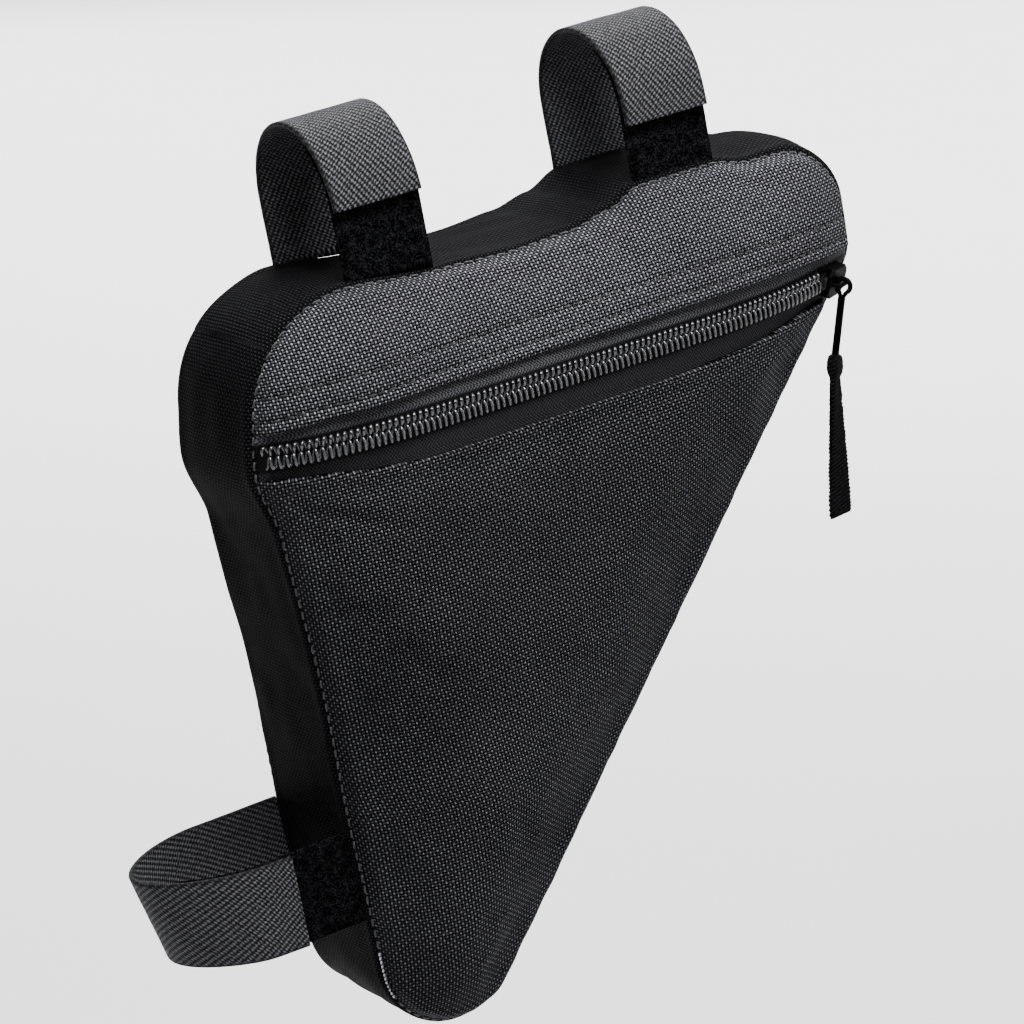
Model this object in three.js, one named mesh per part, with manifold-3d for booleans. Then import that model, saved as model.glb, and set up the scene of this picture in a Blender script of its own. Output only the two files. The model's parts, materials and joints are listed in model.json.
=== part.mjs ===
// A triangular bicycle frame bag, as it hangs in the corner of a frame.
// Millimetres, +Z up. The origin is on the top tube's axis, midway between the two top straps.
// The pattern frame has x along the bag's top edge, y through its depth (the viewer's side is -y)
// and z up; the whole pattern is then turned by the slope of the top tube.
import * as THREE from 'three';
import { mergeVertices } from 'three/addons/utils/BufferGeometryUtils.js';
import Module from 'manifold-3d';

const wasm = await Module();
wasm.setup();

// Driving dimensions of the outline
const BAG_LENGTH = 186;
const BAG_DEPTH = 45;
const TUBE_SLOPE_DEG = 11.7;
const SEAT_EDGE_LEAN_DEG = 2.2;
const POINT_DROP = 233;
const END_DROP = 32;
const SEAT_CORNER_RADIUS = 34;
const TOP_END_RADIUS = 17;
const ZIP_END_RADIUS = 9;
const POINT_RADIUS = 21;
const TOP_EDGE_PULL = 4;
const SEAT_EDGE_PULL = 2.5;

// Cloth and its swell
const CLOTH = 1.8;
const GUSSET_CLOTH = 2;
const PIECE_GAP = 0.3;
const FRONT_SWELL = 15;
const BACK_SWELL = 9;
const EDGE_ROLL_RISE = 2.5;
const EDGE_ROLL_WIDTH = 4;
const DOME_REACH = 38;
const GUSSET_SWELL = 5;
const DENT_DEPTH = 1.6;

// Zip
const ZIP_DROP = 36;
const ZIP_FOLD_ABOVE = 7.5;
const ZIP_FOLD_BELOW = 9.5;
const COIL_WIDTH = 6.3;
const COIL_HEIGHT = 1.9;
const COIL_PROUD = 0.2;
const COIL_RIB_PITCH = 3.4;
const COIL_RIB_DEPTH = 0.5;
const TAPE_CLOTH = 1;
const TAPE_UNDER_FOLD = 6;
const TAPE_END_INSET = 1.2;
const SLIDER_LENGTH = 9.5;
const SLIDER_PLATE = 1.2;
const SLIDER_WALL = 0.8;
const SLIDER_FROM_END = 6;
const SLIDER_POST = 1.6;
const SLIDER_SLACK = 0.8;
const SLIDER_CORNER = 1.6;
const BAIL_WIRE = 1;
const LINK_ALONG_BEAM = -1.2;

// Puller
const LINK_LENGTH = 22;
const LINK_SLOT = 1.8;
const LINK_WIRE = 0.8;
const TAB_LENGTH = 42.5;
const TAB_TOP_WIDTH = 4.2;
const TAB_BOTTOM_WIDTH = 6.4;
const TAB_THICKNESS = 2.2;

// Straps
const STRAP_WIDTH = 25.4;
const LOOP_TAPE = 1.2;
const HOOK_TAPE = 1.3;
const TOP_TUBE_RADIUS = 19;
const SEAT_TUBE_GAP_RADIUS = 19;
const HOOK_END_RISE = 18.5;
const LOOP_TAPE_WRAP_DEG = 35;
const STRAP_STEPS = 16;
const STRAP_ACROSS_STEPS = 3;

const HALF_DEPTH = BAG_DEPTH / 2;
const DEGREE = Math.PI / 180;
const TUBE_SLOPE = TUBE_SLOPE_DEG * DEGREE;
const SEAT_EDGE_RUN = Math.tan(SEAT_EDGE_LEAN_DEG * DEGREE);
const RIM_PLANE = HALF_DEPTH + PIECE_GAP / 2;

// Each strap: where it sits along its edge, and how far its tube lies off that edge
const TOP_STRAPS = [
  { name: 'strap_top_rear', along: 49, axisRise: 18.5 },
  { name: 'strap_top_front', along: 136.5, axisRise: 22 },
];
const SEAT_STRAP = { name: 'strap_seat', drop: 152.5, axisOut: 18, hookEndOut: 11, nose: 4, skew: 3 };

// Pull and sag of the top edge: shares of the length, and shares of TOP_EDGE_PULL
const TOP_EDGE_SAG = [
  { along: 0.0, lift: 0.0 },
  { along: 0.17, lift: 0.0 },
  { along: 0.34, lift: -0.65 },
  { along: 0.45, lift: -0.9 },
  { along: 0.55, lift: -0.75 },
  { along: 0.61, lift: -0.2 },
  { along: 0.67, lift: 0.8 },
  { along: 0.79, lift: 0.8 },
  { along: 0.86, lift: 0.2 },
  { along: 1.0, lift: -0.1 },
];

// Wave of the seat-tube edge: shares of POINT_DROP, and shares of SEAT_EDGE_PULL
const SEAT_EDGE_WAVE = [
  { along: 0.0, lift: 0.0 },
  { along: 0.12, lift: 0.1 },
  { along: 0.18, lift: -0.6 },
  { along: 0.25, lift: 0.6 },
  { along: 0.42, lift: 1.0 },
  { along: 0.62, lift: 0.3 },
  { along: 1.0, lift: 0.0 },
];

// How far the gusset swells out, as shares of GUSSET_SWELL, by share of the way round
const SEAT_RUN_SWELL = 0.1;
const GUSSET_SWELL_ROUND = [
  { round: 0.0, swell: 0.45 },
  { round: 0.06, swell: 0.1 },
  { round: 0.22, swell: 0.25 },
  { round: 0.29, swell: 0.9 },
  { round: 0.4, swell: 0.8 },
  { round: 0.5, swell: 1.0 },
  { round: 0.57, swell: 0.7 },
  { round: 0.62, swell: 0.25 },
  { round: 0.7, swell: SEAT_RUN_SWELL },
  { round: 0.9, swell: SEAT_RUN_SWELL },
  { round: 1.0, swell: 0.45 },
];

// Soft dents of the front: place as shares of length and POINT_DROP, size as shares of length
const FRONT_DENTS = [
  { along: 0.1, down: 0.3, wide: 0.07, tall: 0.16, depth: 1.0 },
  { along: 0.24, down: 0.52, wide: 0.12, tall: 0.1, depth: 0.5 },
  { along: 0.42, down: 0.07, wide: 0.13, tall: 0.06, depth: 0.9 },
  { along: 0.66, down: 0.34, wide: 0.16, tall: 0.1, depth: 0.35 },
];

// Smooth value of a table at a place between its rows
function tableValue(rows, placeName, valueName, place) {
  let next = rows.findIndex((row) => row[placeName] >= place);
  if (next < 0) next = rows.length - 1;
  if (next === 0) return rows[0][valueName];
  const low = rows[next - 1];
  const high = rows[next];
  const share = (place - low[placeName]) / (high[placeName] - low[placeName]);
  const eased = THREE.MathUtils.smoothstep(THREE.MathUtils.clamp(share, 0, 1), 0, 1);
  return THREE.MathUtils.lerp(low[valueName], high[valueName], eased);
}

// The four corners of the outline before rounding, clockwise from the seat-tube corner
function outlineCorners() {
  return [
    { point: new THREE.Vector2(0, 0), radius: SEAT_CORNER_RADIUS },
    { point: new THREE.Vector2(BAG_LENGTH, 0), radius: TOP_END_RADIUS },
    { point: new THREE.Vector2(BAG_LENGTH, -END_DROP), radius: ZIP_END_RADIUS },
    { point: new THREE.Vector2(SEAT_EDGE_RUN * POINT_DROP, -POINT_DROP), radius: POINT_RADIUS },
  ];
}

// Points of one rounded corner
function cornerArc(before, corner, after, radius, steps) {
  const toBefore = before.clone().sub(corner).normalize();
  const toAfter = after.clone().sub(corner).normalize();
  const halfAngle = Math.acos(toBefore.dot(toAfter)) / 2;
  const middle = toBefore.clone().add(toAfter).normalize();
  const centre = corner.clone().addScaledVector(middle, radius / Math.sin(halfAngle));
  const start = corner.clone().addScaledVector(toBefore, radius / Math.tan(halfAngle)).sub(centre);
  const sweep = Math.PI - 2 * halfAngle;
  const points = [];
  for (let i = 0; i <= steps; i += 1) {
    const turned = start.clone().rotateAround(new THREE.Vector2(), -sweep * (i / steps));
    points.push(turned.add(centre));
  }
  return points;
}

// Moves a point of the plain outline by the sag of the top edge and the wave of the seat edge
function pulledPoint(point) {
  const along = point.x / BAG_LENGTH;
  const down = -point.y / POINT_DROP;
  const nearTop = 1 - THREE.MathUtils.smoothstep(-point.y, 0, SEAT_CORNER_RADIUS);
  const seatEdgeX = -point.y * SEAT_EDGE_RUN;
  const nearSeat = 1 - THREE.MathUtils.smoothstep(point.x - seatEdgeX, 0, POINT_RADIUS);
  const lift = TOP_EDGE_PULL * nearTop * tableValue(TOP_EDGE_SAG, 'along', 'lift', along);
  const wave = SEAT_EDGE_PULL * nearSeat * tableValue(SEAT_EDGE_WAVE, 'along', 'lift', down);
  return new THREE.Vector2(point.x + wave, point.y + lift);
}

// The whole outline as a closed, evenly spaced polyline that starts at the top left corner's middle
function buildOutline() {
  const ARC_STEPS = 24;
  const corners = outlineCorners();
  const plain = [];
  corners.forEach((corner, i) => {
    const before = corners[(i + 3) % 4].point;
    const after = corners[(i + 1) % 4].point;
    plain.push(...cornerArc(before, corner.point, after, corner.radius, ARC_STEPS));
  });
  const closed = new THREE.CurvePath();
  plain.forEach((point, i) => {
    closed.add(new THREE.LineCurve(point, plain[(i + 1) % plain.length]));
  });
  const spaced = closed.getSpacedPoints(Math.round(closed.getLength()));
  spaced.pop();
  const isMiddle = (point) => point.x + point.y > 0;
  const shift = spaced.findIndex(isMiddle);
  return [...spaced.slice(shift), ...spaced.slice(0, shift)].map(pulledPoint);
}

const OUTLINE = buildOutline();
const OUTLINE_STEP = OUTLINE[0].distanceTo(OUTLINE[1]);

// Point of the outline at a share of the way round, clockwise from the seat-tube corner
function outlineAt(round) {
  const place = (((round % 1) + 1) % 1) * OUTLINE.length;
  const low = Math.floor(place);
  const next = OUTLINE[(low + 1) % OUTLINE.length];
  return OUTLINE[low].clone().lerp(next, place - low);
}

// Outward normal of the outline at a share of the way round
function outlineNormal(round) {
  const SPAN = 3 / OUTLINE.length;
  const along = outlineAt(round + SPAN).sub(outlineAt(round - SPAN)).normalize();
  return new THREE.Vector2(-along.y, along.x);
}

// Share of the way round where the outline crosses a height, on its end side or its seat side
function roundAtHeight(height, seatSide) {
  const crosses = (i) => {
    const here = OUTLINE[i].y - height;
    const next = OUTLINE[(i + 1) % OUTLINE.length].y - height;
    return seatSide ? here < 0 && next >= 0 : here >= 0 && next < 0;
  };
  const index = OUTLINE.findIndex((point, i) => crosses(i));
  const a = OUTLINE[index];
  const b = OUTLINE[(index + 1) % OUTLINE.length];
  return (index + (height - a.y) / (b.y - a.y)) / OUTLINE.length;
}

// Height of the top edge's seam above the pattern's top line, at a place along it
function topEdgeHeight(x) {
  const nearest = OUTLINE.filter((point) => point.y > -SEAT_CORNER_RADIUS / 2);
  nearest.sort((a, b) => Math.abs(a.x - x) - Math.abs(b.x - x));
  return nearest[0].y;
}

// Place of the seat edge's seam at a height
function seatEdgeX(height) {
  return outlineAt(roundAtHeight(height, true)).x;
}

// Smooth distance of a point to the outline: true near an edge, rounded off between edges
function edgeDistance(point) {
  const POWER = 4;
  const STRAIGHT_EDGE_SUM = Math.PI / 2;
  let sum = 0;
  let nearest = Infinity;
  for (const edge of OUTLINE) {
    const apart = Math.max(edge.distanceTo(point), 1e-6);
    nearest = Math.min(nearest, apart);
    sum += OUTLINE_STEP / apart ** POWER;
  }
  if (nearest < OUTLINE_STEP) return edgeDistanceExact(point);
  return (sum / STRAIGHT_EDGE_SUM) ** (-1 / (POWER - 1));
}

// Exact distance of a point to the outline's straight steps, negative outside
function edgeDistanceExact(point) {
  let nearest = Infinity;
  let sign = 1;
  for (let i = 0; i < OUTLINE.length; i += 1) {
    const a = OUTLINE[i];
    const step = OUTLINE[(i + 1) % OUTLINE.length].clone().sub(a);
    const toPoint = point.clone().sub(a);
    const share = THREE.MathUtils.clamp(toPoint.dot(step) / step.lengthSq(), 0, 1);
    const apart = toPoint.clone().addScaledVector(step, -share).length();
    if (apart < nearest) {
      nearest = apart;
      sign = step.cross(toPoint) > 0 ? -1 : 1;
    }
  }
  return sign * nearest;
}

// Total depth of the front's soft dents at a point
function dentAt(point) {
  let depth = 0;
  for (const dent of FRONT_DENTS) {
    const across = (point.x / BAG_LENGTH - dent.along) / dent.wide;
    const down = (-point.y / POINT_DROP - dent.down) / dent.tall;
    depth += DENT_DEPTH * dent.depth * Math.exp(-(across * across + down * down));
  }
  return depth;
}

// How far a side panel stands out from its seam plane at a point
function swellAt(point, swell, dented) {
  const edge = edgeDistance(point);
  const roll = EDGE_ROLL_RISE * (1 - Math.exp(-edge / EDGE_ROLL_WIDTH));
  const share = Math.min(edge / DOME_REACH, 1);
  const dome = (swell - EDGE_ROLL_RISE) * share * (2 - share);
  return roll + dome - (dented ? dentAt(point) * share : 0);
}

// Point on or under a side panel's outer face; side is -1 for the front and 1 for the back
function panelPoint(point, side, under) {
  const swell = side < 0 ? FRONT_SWELL : BACK_SWELL;
  const SPAN = 0.5;
  const height = (x, z) => swellAt(new THREE.Vector2(x, z), swell, side < 0);
  const here = height(point.x, point.y);
  const slopeX = (height(point.x + SPAN, point.y) - height(point.x - SPAN, point.y)) / (2 * SPAN);
  const slopeZ = (height(point.x, point.y + SPAN) - height(point.x, point.y - SPAN)) / (2 * SPAN);
  const onRim = Math.abs(edgeDistanceExact(point)) < 1e-3;
  const normal = new THREE.Vector3(-slopeX, side, -slopeZ).normalize();
  const place = new THREE.Vector3(point.x, side * (RIM_PLANE + (onRim ? 0 : here)), point.y);
  place.addScaledVector(normal, -under);
  place.y = side * Math.max(side * place.y, RIM_PLANE);
  return place;
}

// Closed body between two equal grids of points
function slab(outer, inner) {
  const rows = outer.length;
  const columns = outer[0].length;
  const positions = [];
  [outer, inner].forEach((grid) => grid.flat().forEach((p) => positions.push(p.x, p.y, p.z)));
  const at = (layer, row, column) => (layer * rows + row) * columns + column;
  const index = [];
  const quad = (a, b, c, d) => index.push(a, b, c, a, c, d);
  const end = columns - 1;
  for (let r = 0; r + 1 < rows; r += 1) {
    for (let c = 0; c + 1 < columns; c += 1) {
      quad(at(0, r, c), at(0, r, c + 1), at(0, r + 1, c + 1), at(0, r + 1, c));
      quad(at(1, r, c), at(1, r + 1, c), at(1, r + 1, c + 1), at(1, r, c + 1));
    }
    quad(at(0, r, 0), at(0, r + 1, 0), at(1, r + 1, 0), at(1, r, 0));
    quad(at(0, r + 1, end), at(0, r, end), at(1, r, end), at(1, r + 1, end));
  }
  for (let c = 0; c + 1 < columns; c += 1) {
    quad(at(0, 0, c + 1), at(0, 0, c), at(1, 0, c), at(1, 0, c + 1));
    quad(at(0, rows - 1, c), at(0, rows - 1, c + 1), at(1, rows - 1, c + 1), at(1, rows - 1, c));
  }
  return facingOut(positions, index);
}

// Geometry from points and triangles, turned so that its faces look outward
function facingOut(positions, index) {
  const corner = (i) => new THREE.Vector3().fromArray(positions, 3 * i);
  let volume = 0;
  for (let t = 0; t < index.length; t += 3) {
    volume += corner(index[t]).dot(corner(index[t + 1]).cross(corner(index[t + 2])));
  }
  const ordered = volume > 0 ? index : index.slice().reverse();
  const geometry = new THREE.BufferGeometry();
  geometry.setAttribute('position', new THREE.Float32BufferAttribute(positions, 3));
  geometry.setIndex(ordered);
  geometry.computeVertexNormals();
  return geometry;
}

// Four-sided patch between border curves, each a function of a share from 0 to 1
function patchPoints(borders, columns, rows) {
  const { bottom, top, left, right } = borders;
  const CLUSTER = 0.6;
  const spaced = (i, count) => {
    const even = i / count;
    return THREE.MathUtils.lerp(even, 0.5 - 0.5 * Math.cos(Math.PI * even), CLUSTER);
  };
  const grid = [];
  for (let r = 0; r <= rows; r += 1) {
    const v = spaced(r, rows);
    const line = [];
    for (let c = 0; c <= columns; c += 1) {
      const u = spaced(c, columns);
      const between = bottom(u).multiplyScalar(1 - v).addScaledVector(top(u), v);
      between.addScaledVector(left(v), 1 - u).addScaledVector(right(v), u);
      between.addScaledVector(bottom(0), -(1 - u) * (1 - v)).addScaledVector(bottom(1), -u * (1 - v));
      between.addScaledVector(top(0), -(1 - u) * v).addScaledVector(top(1), -u * v);
      line.push(between);
    }
    grid.push(line);
  }
  return grid;
}

// Border curve along the outline from one share of the way round to another
const alongOutline = (from, to) => (share) => outlineAt(THREE.MathUtils.lerp(from, to, share));

// Border curve along a straight line
const alongLine = (from, to) => (share) => from.clone().lerp(to, share);

// Shares of the way round where the patches meet
const TOP_END_MIDDLE = roundAtHeight(-TOP_END_RADIUS * 0.3, false);
const POINT_END_SIDE = roundAtHeight(-POINT_DROP + POINT_RADIUS * 1.75, false);
const POINT_SEAT_SIDE = roundAtHeight(-POINT_DROP + POINT_RADIUS * 2, true);

// A shell of cloth over a patch of one side
function panelShell(flat, side) {
  const face = (under) => flat.map((line) => line.map((point) => panelPoint(point, side, under)));
  return slab(face(0), face(CLOTH));
}

function upperPanelPatch() {
  const fold = -ZIP_DROP + ZIP_FOLD_ABOVE;
  const seatEnd = roundAtHeight(fold, true);
  const farEnd = roundAtHeight(fold, false);
  return {
    bottom: alongLine(outlineAt(seatEnd), outlineAt(farEnd)),
    top: alongOutline(0, TOP_END_MIDDLE),
    left: alongOutline(seatEnd, 1),
    right: alongOutline(farEnd, TOP_END_MIDDLE),
  };
}

function lowerPanelPatch() {
  const fold = -ZIP_DROP - ZIP_FOLD_BELOW;
  const seatEnd = roundAtHeight(fold, true);
  const farEnd = roundAtHeight(fold, false);
  return {
    bottom: alongOutline(POINT_SEAT_SIDE, POINT_END_SIDE),
    top: alongLine(outlineAt(seatEnd), outlineAt(farEnd)),
    left: alongOutline(POINT_SEAT_SIDE, seatEnd),
    right: alongOutline(POINT_END_SIDE, farEnd),
  };
}

function backPanelPatch() {
  return {
    bottom: alongOutline(POINT_SEAT_SIDE, POINT_END_SIDE),
    top: alongOutline(0, TOP_END_MIDDLE),
    left: alongOutline(POINT_SEAT_SIDE, 1),
    right: alongOutline(POINT_END_SIDE, TOP_END_MIDDLE),
  };
}

// The strip of cloth round the bag's edge, an open ring as deep as the bag
function gussetRing() {
  const ROUND_STEPS = 68;
  const DEPTH_STEPS = 6;
  const rim = HALF_DEPTH - PIECE_GAP / 2;
  const layer = (inset) => {
    const grid = [];
    for (let r = 0; r <= DEPTH_STEPS; r += 1) {
      const across = 2 * (r / DEPTH_STEPS) - 1;
      const line = [];
      for (let i = 0; i < ROUND_STEPS; i += 1) {
        const round = i / ROUND_STEPS;
        const swell = GUSSET_SWELL * tableValue(GUSSET_SWELL_ROUND, 'round', 'swell', round);
        const out = swell * (1 - across * across) - inset;
        const edge = outlineAt(round).addScaledVector(outlineNormal(round), out);
        line.push(new THREE.Vector3(edge.x, across * rim, edge.y));
      }
      line.push(line[0].clone());
      grid.push(line);
    }
    return grid;
  };
  return ringSlab(layer(0), layer(GUSSET_CLOTH));
}

// Closed ring between two equal grids whose last column repeats the first
function ringSlab(outer, inner) {
  const rows = outer.length;
  const columns = outer[0].length - 1;
  const positions = [];
  [outer, inner].forEach((grid) => {
    grid.forEach((line) => line.slice(0, columns).forEach((p) => positions.push(p.x, p.y, p.z)));
  });
  const at = (layer, row, column) => (layer * rows + row) * columns + (column % columns);
  const index = [];
  const quad = (a, b, c, d) => index.push(a, b, c, a, c, d);
  for (let c = 0; c < columns; c += 1) {
    for (let r = 0; r + 1 < rows; r += 1) {
      quad(at(0, r, c), at(0, r, c + 1), at(0, r + 1, c + 1), at(0, r + 1, c));
      quad(at(1, r, c), at(1, r + 1, c), at(1, r + 1, c + 1), at(1, r, c + 1));
    }
    quad(at(0, 0, c + 1), at(0, 0, c), at(1, 0, c), at(1, 0, c + 1));
    quad(at(0, rows - 1, c), at(0, rows - 1, c + 1), at(1, rows - 1, c + 1), at(1, rows - 1, c));
  }
  return facingOut(positions, index);
}

// Point of the zip's centre line, shifted across it and under the front's outer face
function zipPoint(x, across, under) {
  return panelPoint(new THREE.Vector2(x, -ZIP_DROP + across), -1, under);
}

// Places where the zip's pieces start and end, inside the seams, at a height across the zip
function zipRun(inset, across = 0) {
  const inward = (round, sign) => sign * inset / Math.abs(outlineNormal(round).x);
  const seatSide = roundAtHeight(-ZIP_DROP + across, true);
  const farSide = roundAtHeight(-ZIP_DROP + across, false);
  const start = outlineAt(seatSide).x + inward(seatSide, 1);
  const end = outlineAt(farSide).x + inward(farSide, -1);
  return { start, end };
}

const SLIDER_X = zipRun(SLIDER_FROM_END).end;
const TAPE_UNDER = CLOTH + PIECE_GAP;

// One side's zip tape, from under the panel's fold to the zip's middle
function zipTape(farAcross) {
  const STEPS = 40;
  const near = Math.sign(farAcross) * PIECE_GAP;
  const acrossRows = [near, Math.sign(farAcross) * COIL_WIDTH / 2, farAcross];
  const layer = (under) => acrossRows.map((across) => {
    const { start, end } = zipRun(TAPE_END_INSET, across);
    const line = [];
    for (let i = 0; i <= STEPS; i += 1) {
      const share = 0.5 - 0.5 * Math.cos((Math.PI * i) / STEPS);
      line.push(zipPoint(THREE.MathUtils.lerp(start, end, share), across, under));
    }
    return line;
  });
  return slab(layer(TAPE_UNDER), layer(TAPE_UNDER + TAPE_CLOTH));
}

// The closed coil: two rows of ribs with a groove between, on top of both tapes
function zipCoil() {
  const start = zipRun(1).start;
  const end = SLIDER_X - SLIDER_LENGTH * 0.3;
  const ribs = Math.round((end - start) / COIL_RIB_PITCH);
  const top = -COIL_PROUD;
  const underside = top + COIL_HEIGHT;
  const GROOVE = 0.12;
  const acrossRows = [-0.5, -GROOVE, GROOVE, 0.5].map((share) => share * COIL_WIDTH);
  const layer = (isTop) => acrossRows.map((across, row) => {
    const line = [];
    for (let i = 0; i <= ribs * 2; i += 1) {
      const x = THREE.MathUtils.lerp(start, end, i / (ribs * 2));
      const upperRow = row > 1;
      const isGroove = (i + (upperRow ? 1 : 0)) % 2 === 0;
      const under = top + (isGroove ? COIL_RIB_DEPTH : 0);
      line.push(zipPoint(x, across, isTop ? under : underside));
    }
    return line;
  });
  return slab(layer(true), layer(false));
}

// Solid for booleans, from any closed geometry
function toSolid(geometry) {
  const bare = geometry.clone();
  bare.deleteAttribute('normal');
  bare.deleteAttribute('uv');
  const merged = mergeVertices(bare, 1e-4);
  return new wasm.Manifold(new wasm.Mesh({
    numProp: 3,
    vertProperties: new Float32Array(merged.attributes.position.array),
    triVerts: new Uint32Array(merged.index.array),
  }));
}

function toGeometry(solid) {
  const mesh = solid.getMesh();
  const geometry = new THREE.BufferGeometry();
  geometry.setAttribute('position', new THREE.BufferAttribute(new Float32Array(mesh.vertProperties), 3));
  geometry.setIndex(new THREE.BufferAttribute(new Uint32Array(mesh.triVerts), 1));
  geometry.computeVertexNormals();
  return geometry;
}

// Box from its size and centre
function boxAt(size, centre) {
  return new THREE.BoxGeometry(...size).translate(...centre);
}

// Frame of the slider: x along the zip, y into the bag, z across, origin on the front's outer face
function sliderFrame() {
  const REACH = SLIDER_LENGTH * 0.35;
  const centre = zipPoint(SLIDER_X, 0, 0);
  const along = zipPoint(SLIDER_X + REACH, 0, 0).sub(zipPoint(SLIDER_X - REACH, 0, 0)).normalize();
  const across = zipPoint(SLIDER_X, REACH, 0).sub(zipPoint(SLIDER_X, -REACH, 0));
  const inward = new THREE.Vector3().crossVectors(across, along).normalize();
  const square = new THREE.Vector3().crossVectors(along, inward);
  return new THREE.Matrix4().makeBasis(along, inward, square).setPosition(centre);
}

const SLIDER_WIDTH = COIL_WIDTH + 2 * (SLIDER_SLACK / 2 + SLIDER_WALL);
const SLIDER_TOP_UNDERSIDE = -COIL_PROUD - SLIDER_SLACK;
const SLIDER_FLANGE_END = TAPE_UNDER - SLIDER_SLACK;
const SLIDER_BOTTOM_TOP = TAPE_UNDER + TAPE_CLOTH + SLIDER_SLACK;
const POST_X = SLIDER_LENGTH * 0.3;
const BEAM_RISE = LINK_SLOT / 2 + LINK_WIRE + PIECE_GAP;
const BEAM_Y = SLIDER_TOP_UNDERSIDE - SLIDER_PLATE - BEAM_RISE;

// Plate of the slider: a rounded shield, thick along y
function sliderPlate(farY) {
  const half = SLIDER_LENGTH / 2;
  const wide = SLIDER_WIDTH / 2;
  const NOSE = 0.55;
  const shape = new THREE.Shape();
  shape.moveTo(-half, -wide * NOSE);
  shape.lineTo(-half, wide * NOSE);
  shape.lineTo(-half + SLIDER_CORNER, wide);
  shape.lineTo(half - SLIDER_CORNER, wide);
  shape.lineTo(half, wide * NOSE);
  shape.lineTo(half, -wide * NOSE);
  shape.lineTo(half - SLIDER_CORNER, -wide);
  shape.lineTo(-half + SLIDER_CORNER, -wide);
  const plate = new THREE.ExtrudeGeometry(shape, { depth: SLIDER_PLATE, bevelEnabled: false });
  return plate.rotateX(Math.PI / 2).translate(0, farY, 0);
}

// Bridge over the slider that holds the puller's link: two feet and a beam along the zip
function sliderBail() {
  const foot = SLIDER_LENGTH * 0.36;
  const buried = SLIDER_PLATE / 2;
  const beamTop = buried + BEAM_RISE + BAIL_WIRE / 2;
  const shoulder = beamTop - 2 * BAIL_WIRE;
  const shape = new THREE.Shape();
  shape.moveTo(-foot, 0);
  shape.lineTo(foot, 0);
  shape.lineTo(foot, shoulder);
  shape.quadraticCurveTo(foot, beamTop, foot - 2 * BAIL_WIRE, beamTop);
  shape.lineTo(2 * BAIL_WIRE - foot, beamTop);
  shape.quadraticCurveTo(-foot, beamTop, -foot, shoulder);
  const inner = foot - BAIL_WIRE;
  const opening = new THREE.Path();
  opening.moveTo(-inner, buried / 2);
  opening.lineTo(inner, buried / 2);
  opening.lineTo(inner, shoulder);
  opening.lineTo(inner - BAIL_WIRE / 2, beamTop - BAIL_WIRE);
  opening.lineTo(BAIL_WIRE / 2 - inner, beamTop - BAIL_WIRE);
  opening.lineTo(-inner, shoulder);
  shape.holes.push(opening);
  const pulled = { depth: BAIL_WIRE, bevelEnabled: false, curveSegments: 4 };
  const bail = new THREE.ExtrudeGeometry(shape, pulled);
  bail.translate(0, -buried, -BAIL_WIRE / 2);
  return bail.rotateX(Math.PI).translate(0, SLIDER_TOP_UNDERSIDE - SLIDER_PLATE, 0);
}

// The slider: two plates, two side flanges, the post between the plates and the bridge
function sliderBody() {
  const flangeHeight = SLIDER_FLANGE_END - SLIDER_TOP_UNDERSIDE + SLIDER_PLATE / 2;
  const flangeY = SLIDER_FLANGE_END - flangeHeight / 2;
  const flangeZ = SLIDER_WIDTH / 2 - SLIDER_WALL / 2;
  const flangeLength = SLIDER_LENGTH - 2 * SLIDER_WALL - SLIDER_CORNER;
  const postHeight = SLIDER_BOTTOM_TOP - SLIDER_TOP_UNDERSIDE + SLIDER_PLATE;
  const postY = (SLIDER_BOTTOM_TOP + SLIDER_TOP_UNDERSIDE) / 2;
  let solid = toSolid(sliderPlate(SLIDER_TOP_UNDERSIDE));
  solid = solid.add(toSolid(sliderPlate(SLIDER_BOTTOM_TOP + SLIDER_PLATE)));
  solid = solid.add(toSolid(boxAt([SLIDER_POST, postHeight, SLIDER_POST], [POST_X, postY, 0])));
  for (const side of [-1, 1]) {
    const flange = boxAt([flangeLength, flangeHeight, SLIDER_WALL], [0, flangeY, side * flangeZ]);
    solid = solid.add(toSolid(flange));
  }
  return toGeometry(solid.add(toSolid(sliderBail())));
}

// The tape with room cut out for the slider's post
function notchedTape(farAcross) {
  const room = SLIDER_POST + 2 * PIECE_GAP;
  const deep = 3 * (TAPE_UNDER + TAPE_CLOTH);
  const notch = boxAt([room, deep, room], [POST_X, 0, 0]).applyMatrix4(sliderFrame());
  return toGeometry(toSolid(zipTape(farAcross)).subtract(toSolid(notch)));
}

// Slim wire loop of the puller, hanging from the pivot along -z, in the plane across the zip
function pullerLink() {
  const slot = LINK_SLOT / 2;
  const straight = LINK_LENGTH - LINK_SLOT - LINK_WIRE * 2;
  const outer = stadium(slot + LINK_WIRE, straight);
  outer.holes.push(stadium(slot, straight));
  const pulled = { depth: LINK_WIRE, bevelEnabled: false, curveSegments: 5 };
  const link = new THREE.ExtrudeGeometry(outer, pulled);
  link.translate(0, 0, -LINK_WIRE / 2);
  return link.rotateX(Math.PI / 2).rotateZ(Math.PI / 2);
}

// Rounded slot shape that hangs down from y = 0
function stadium(radius, straight) {
  const shape = new THREE.Shape();
  shape.absarc(0, 0, radius, 0, Math.PI, false);
  shape.absarc(0, -straight, radius, Math.PI, 2 * Math.PI, false);
  shape.closePath();
  return shape;
}

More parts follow.
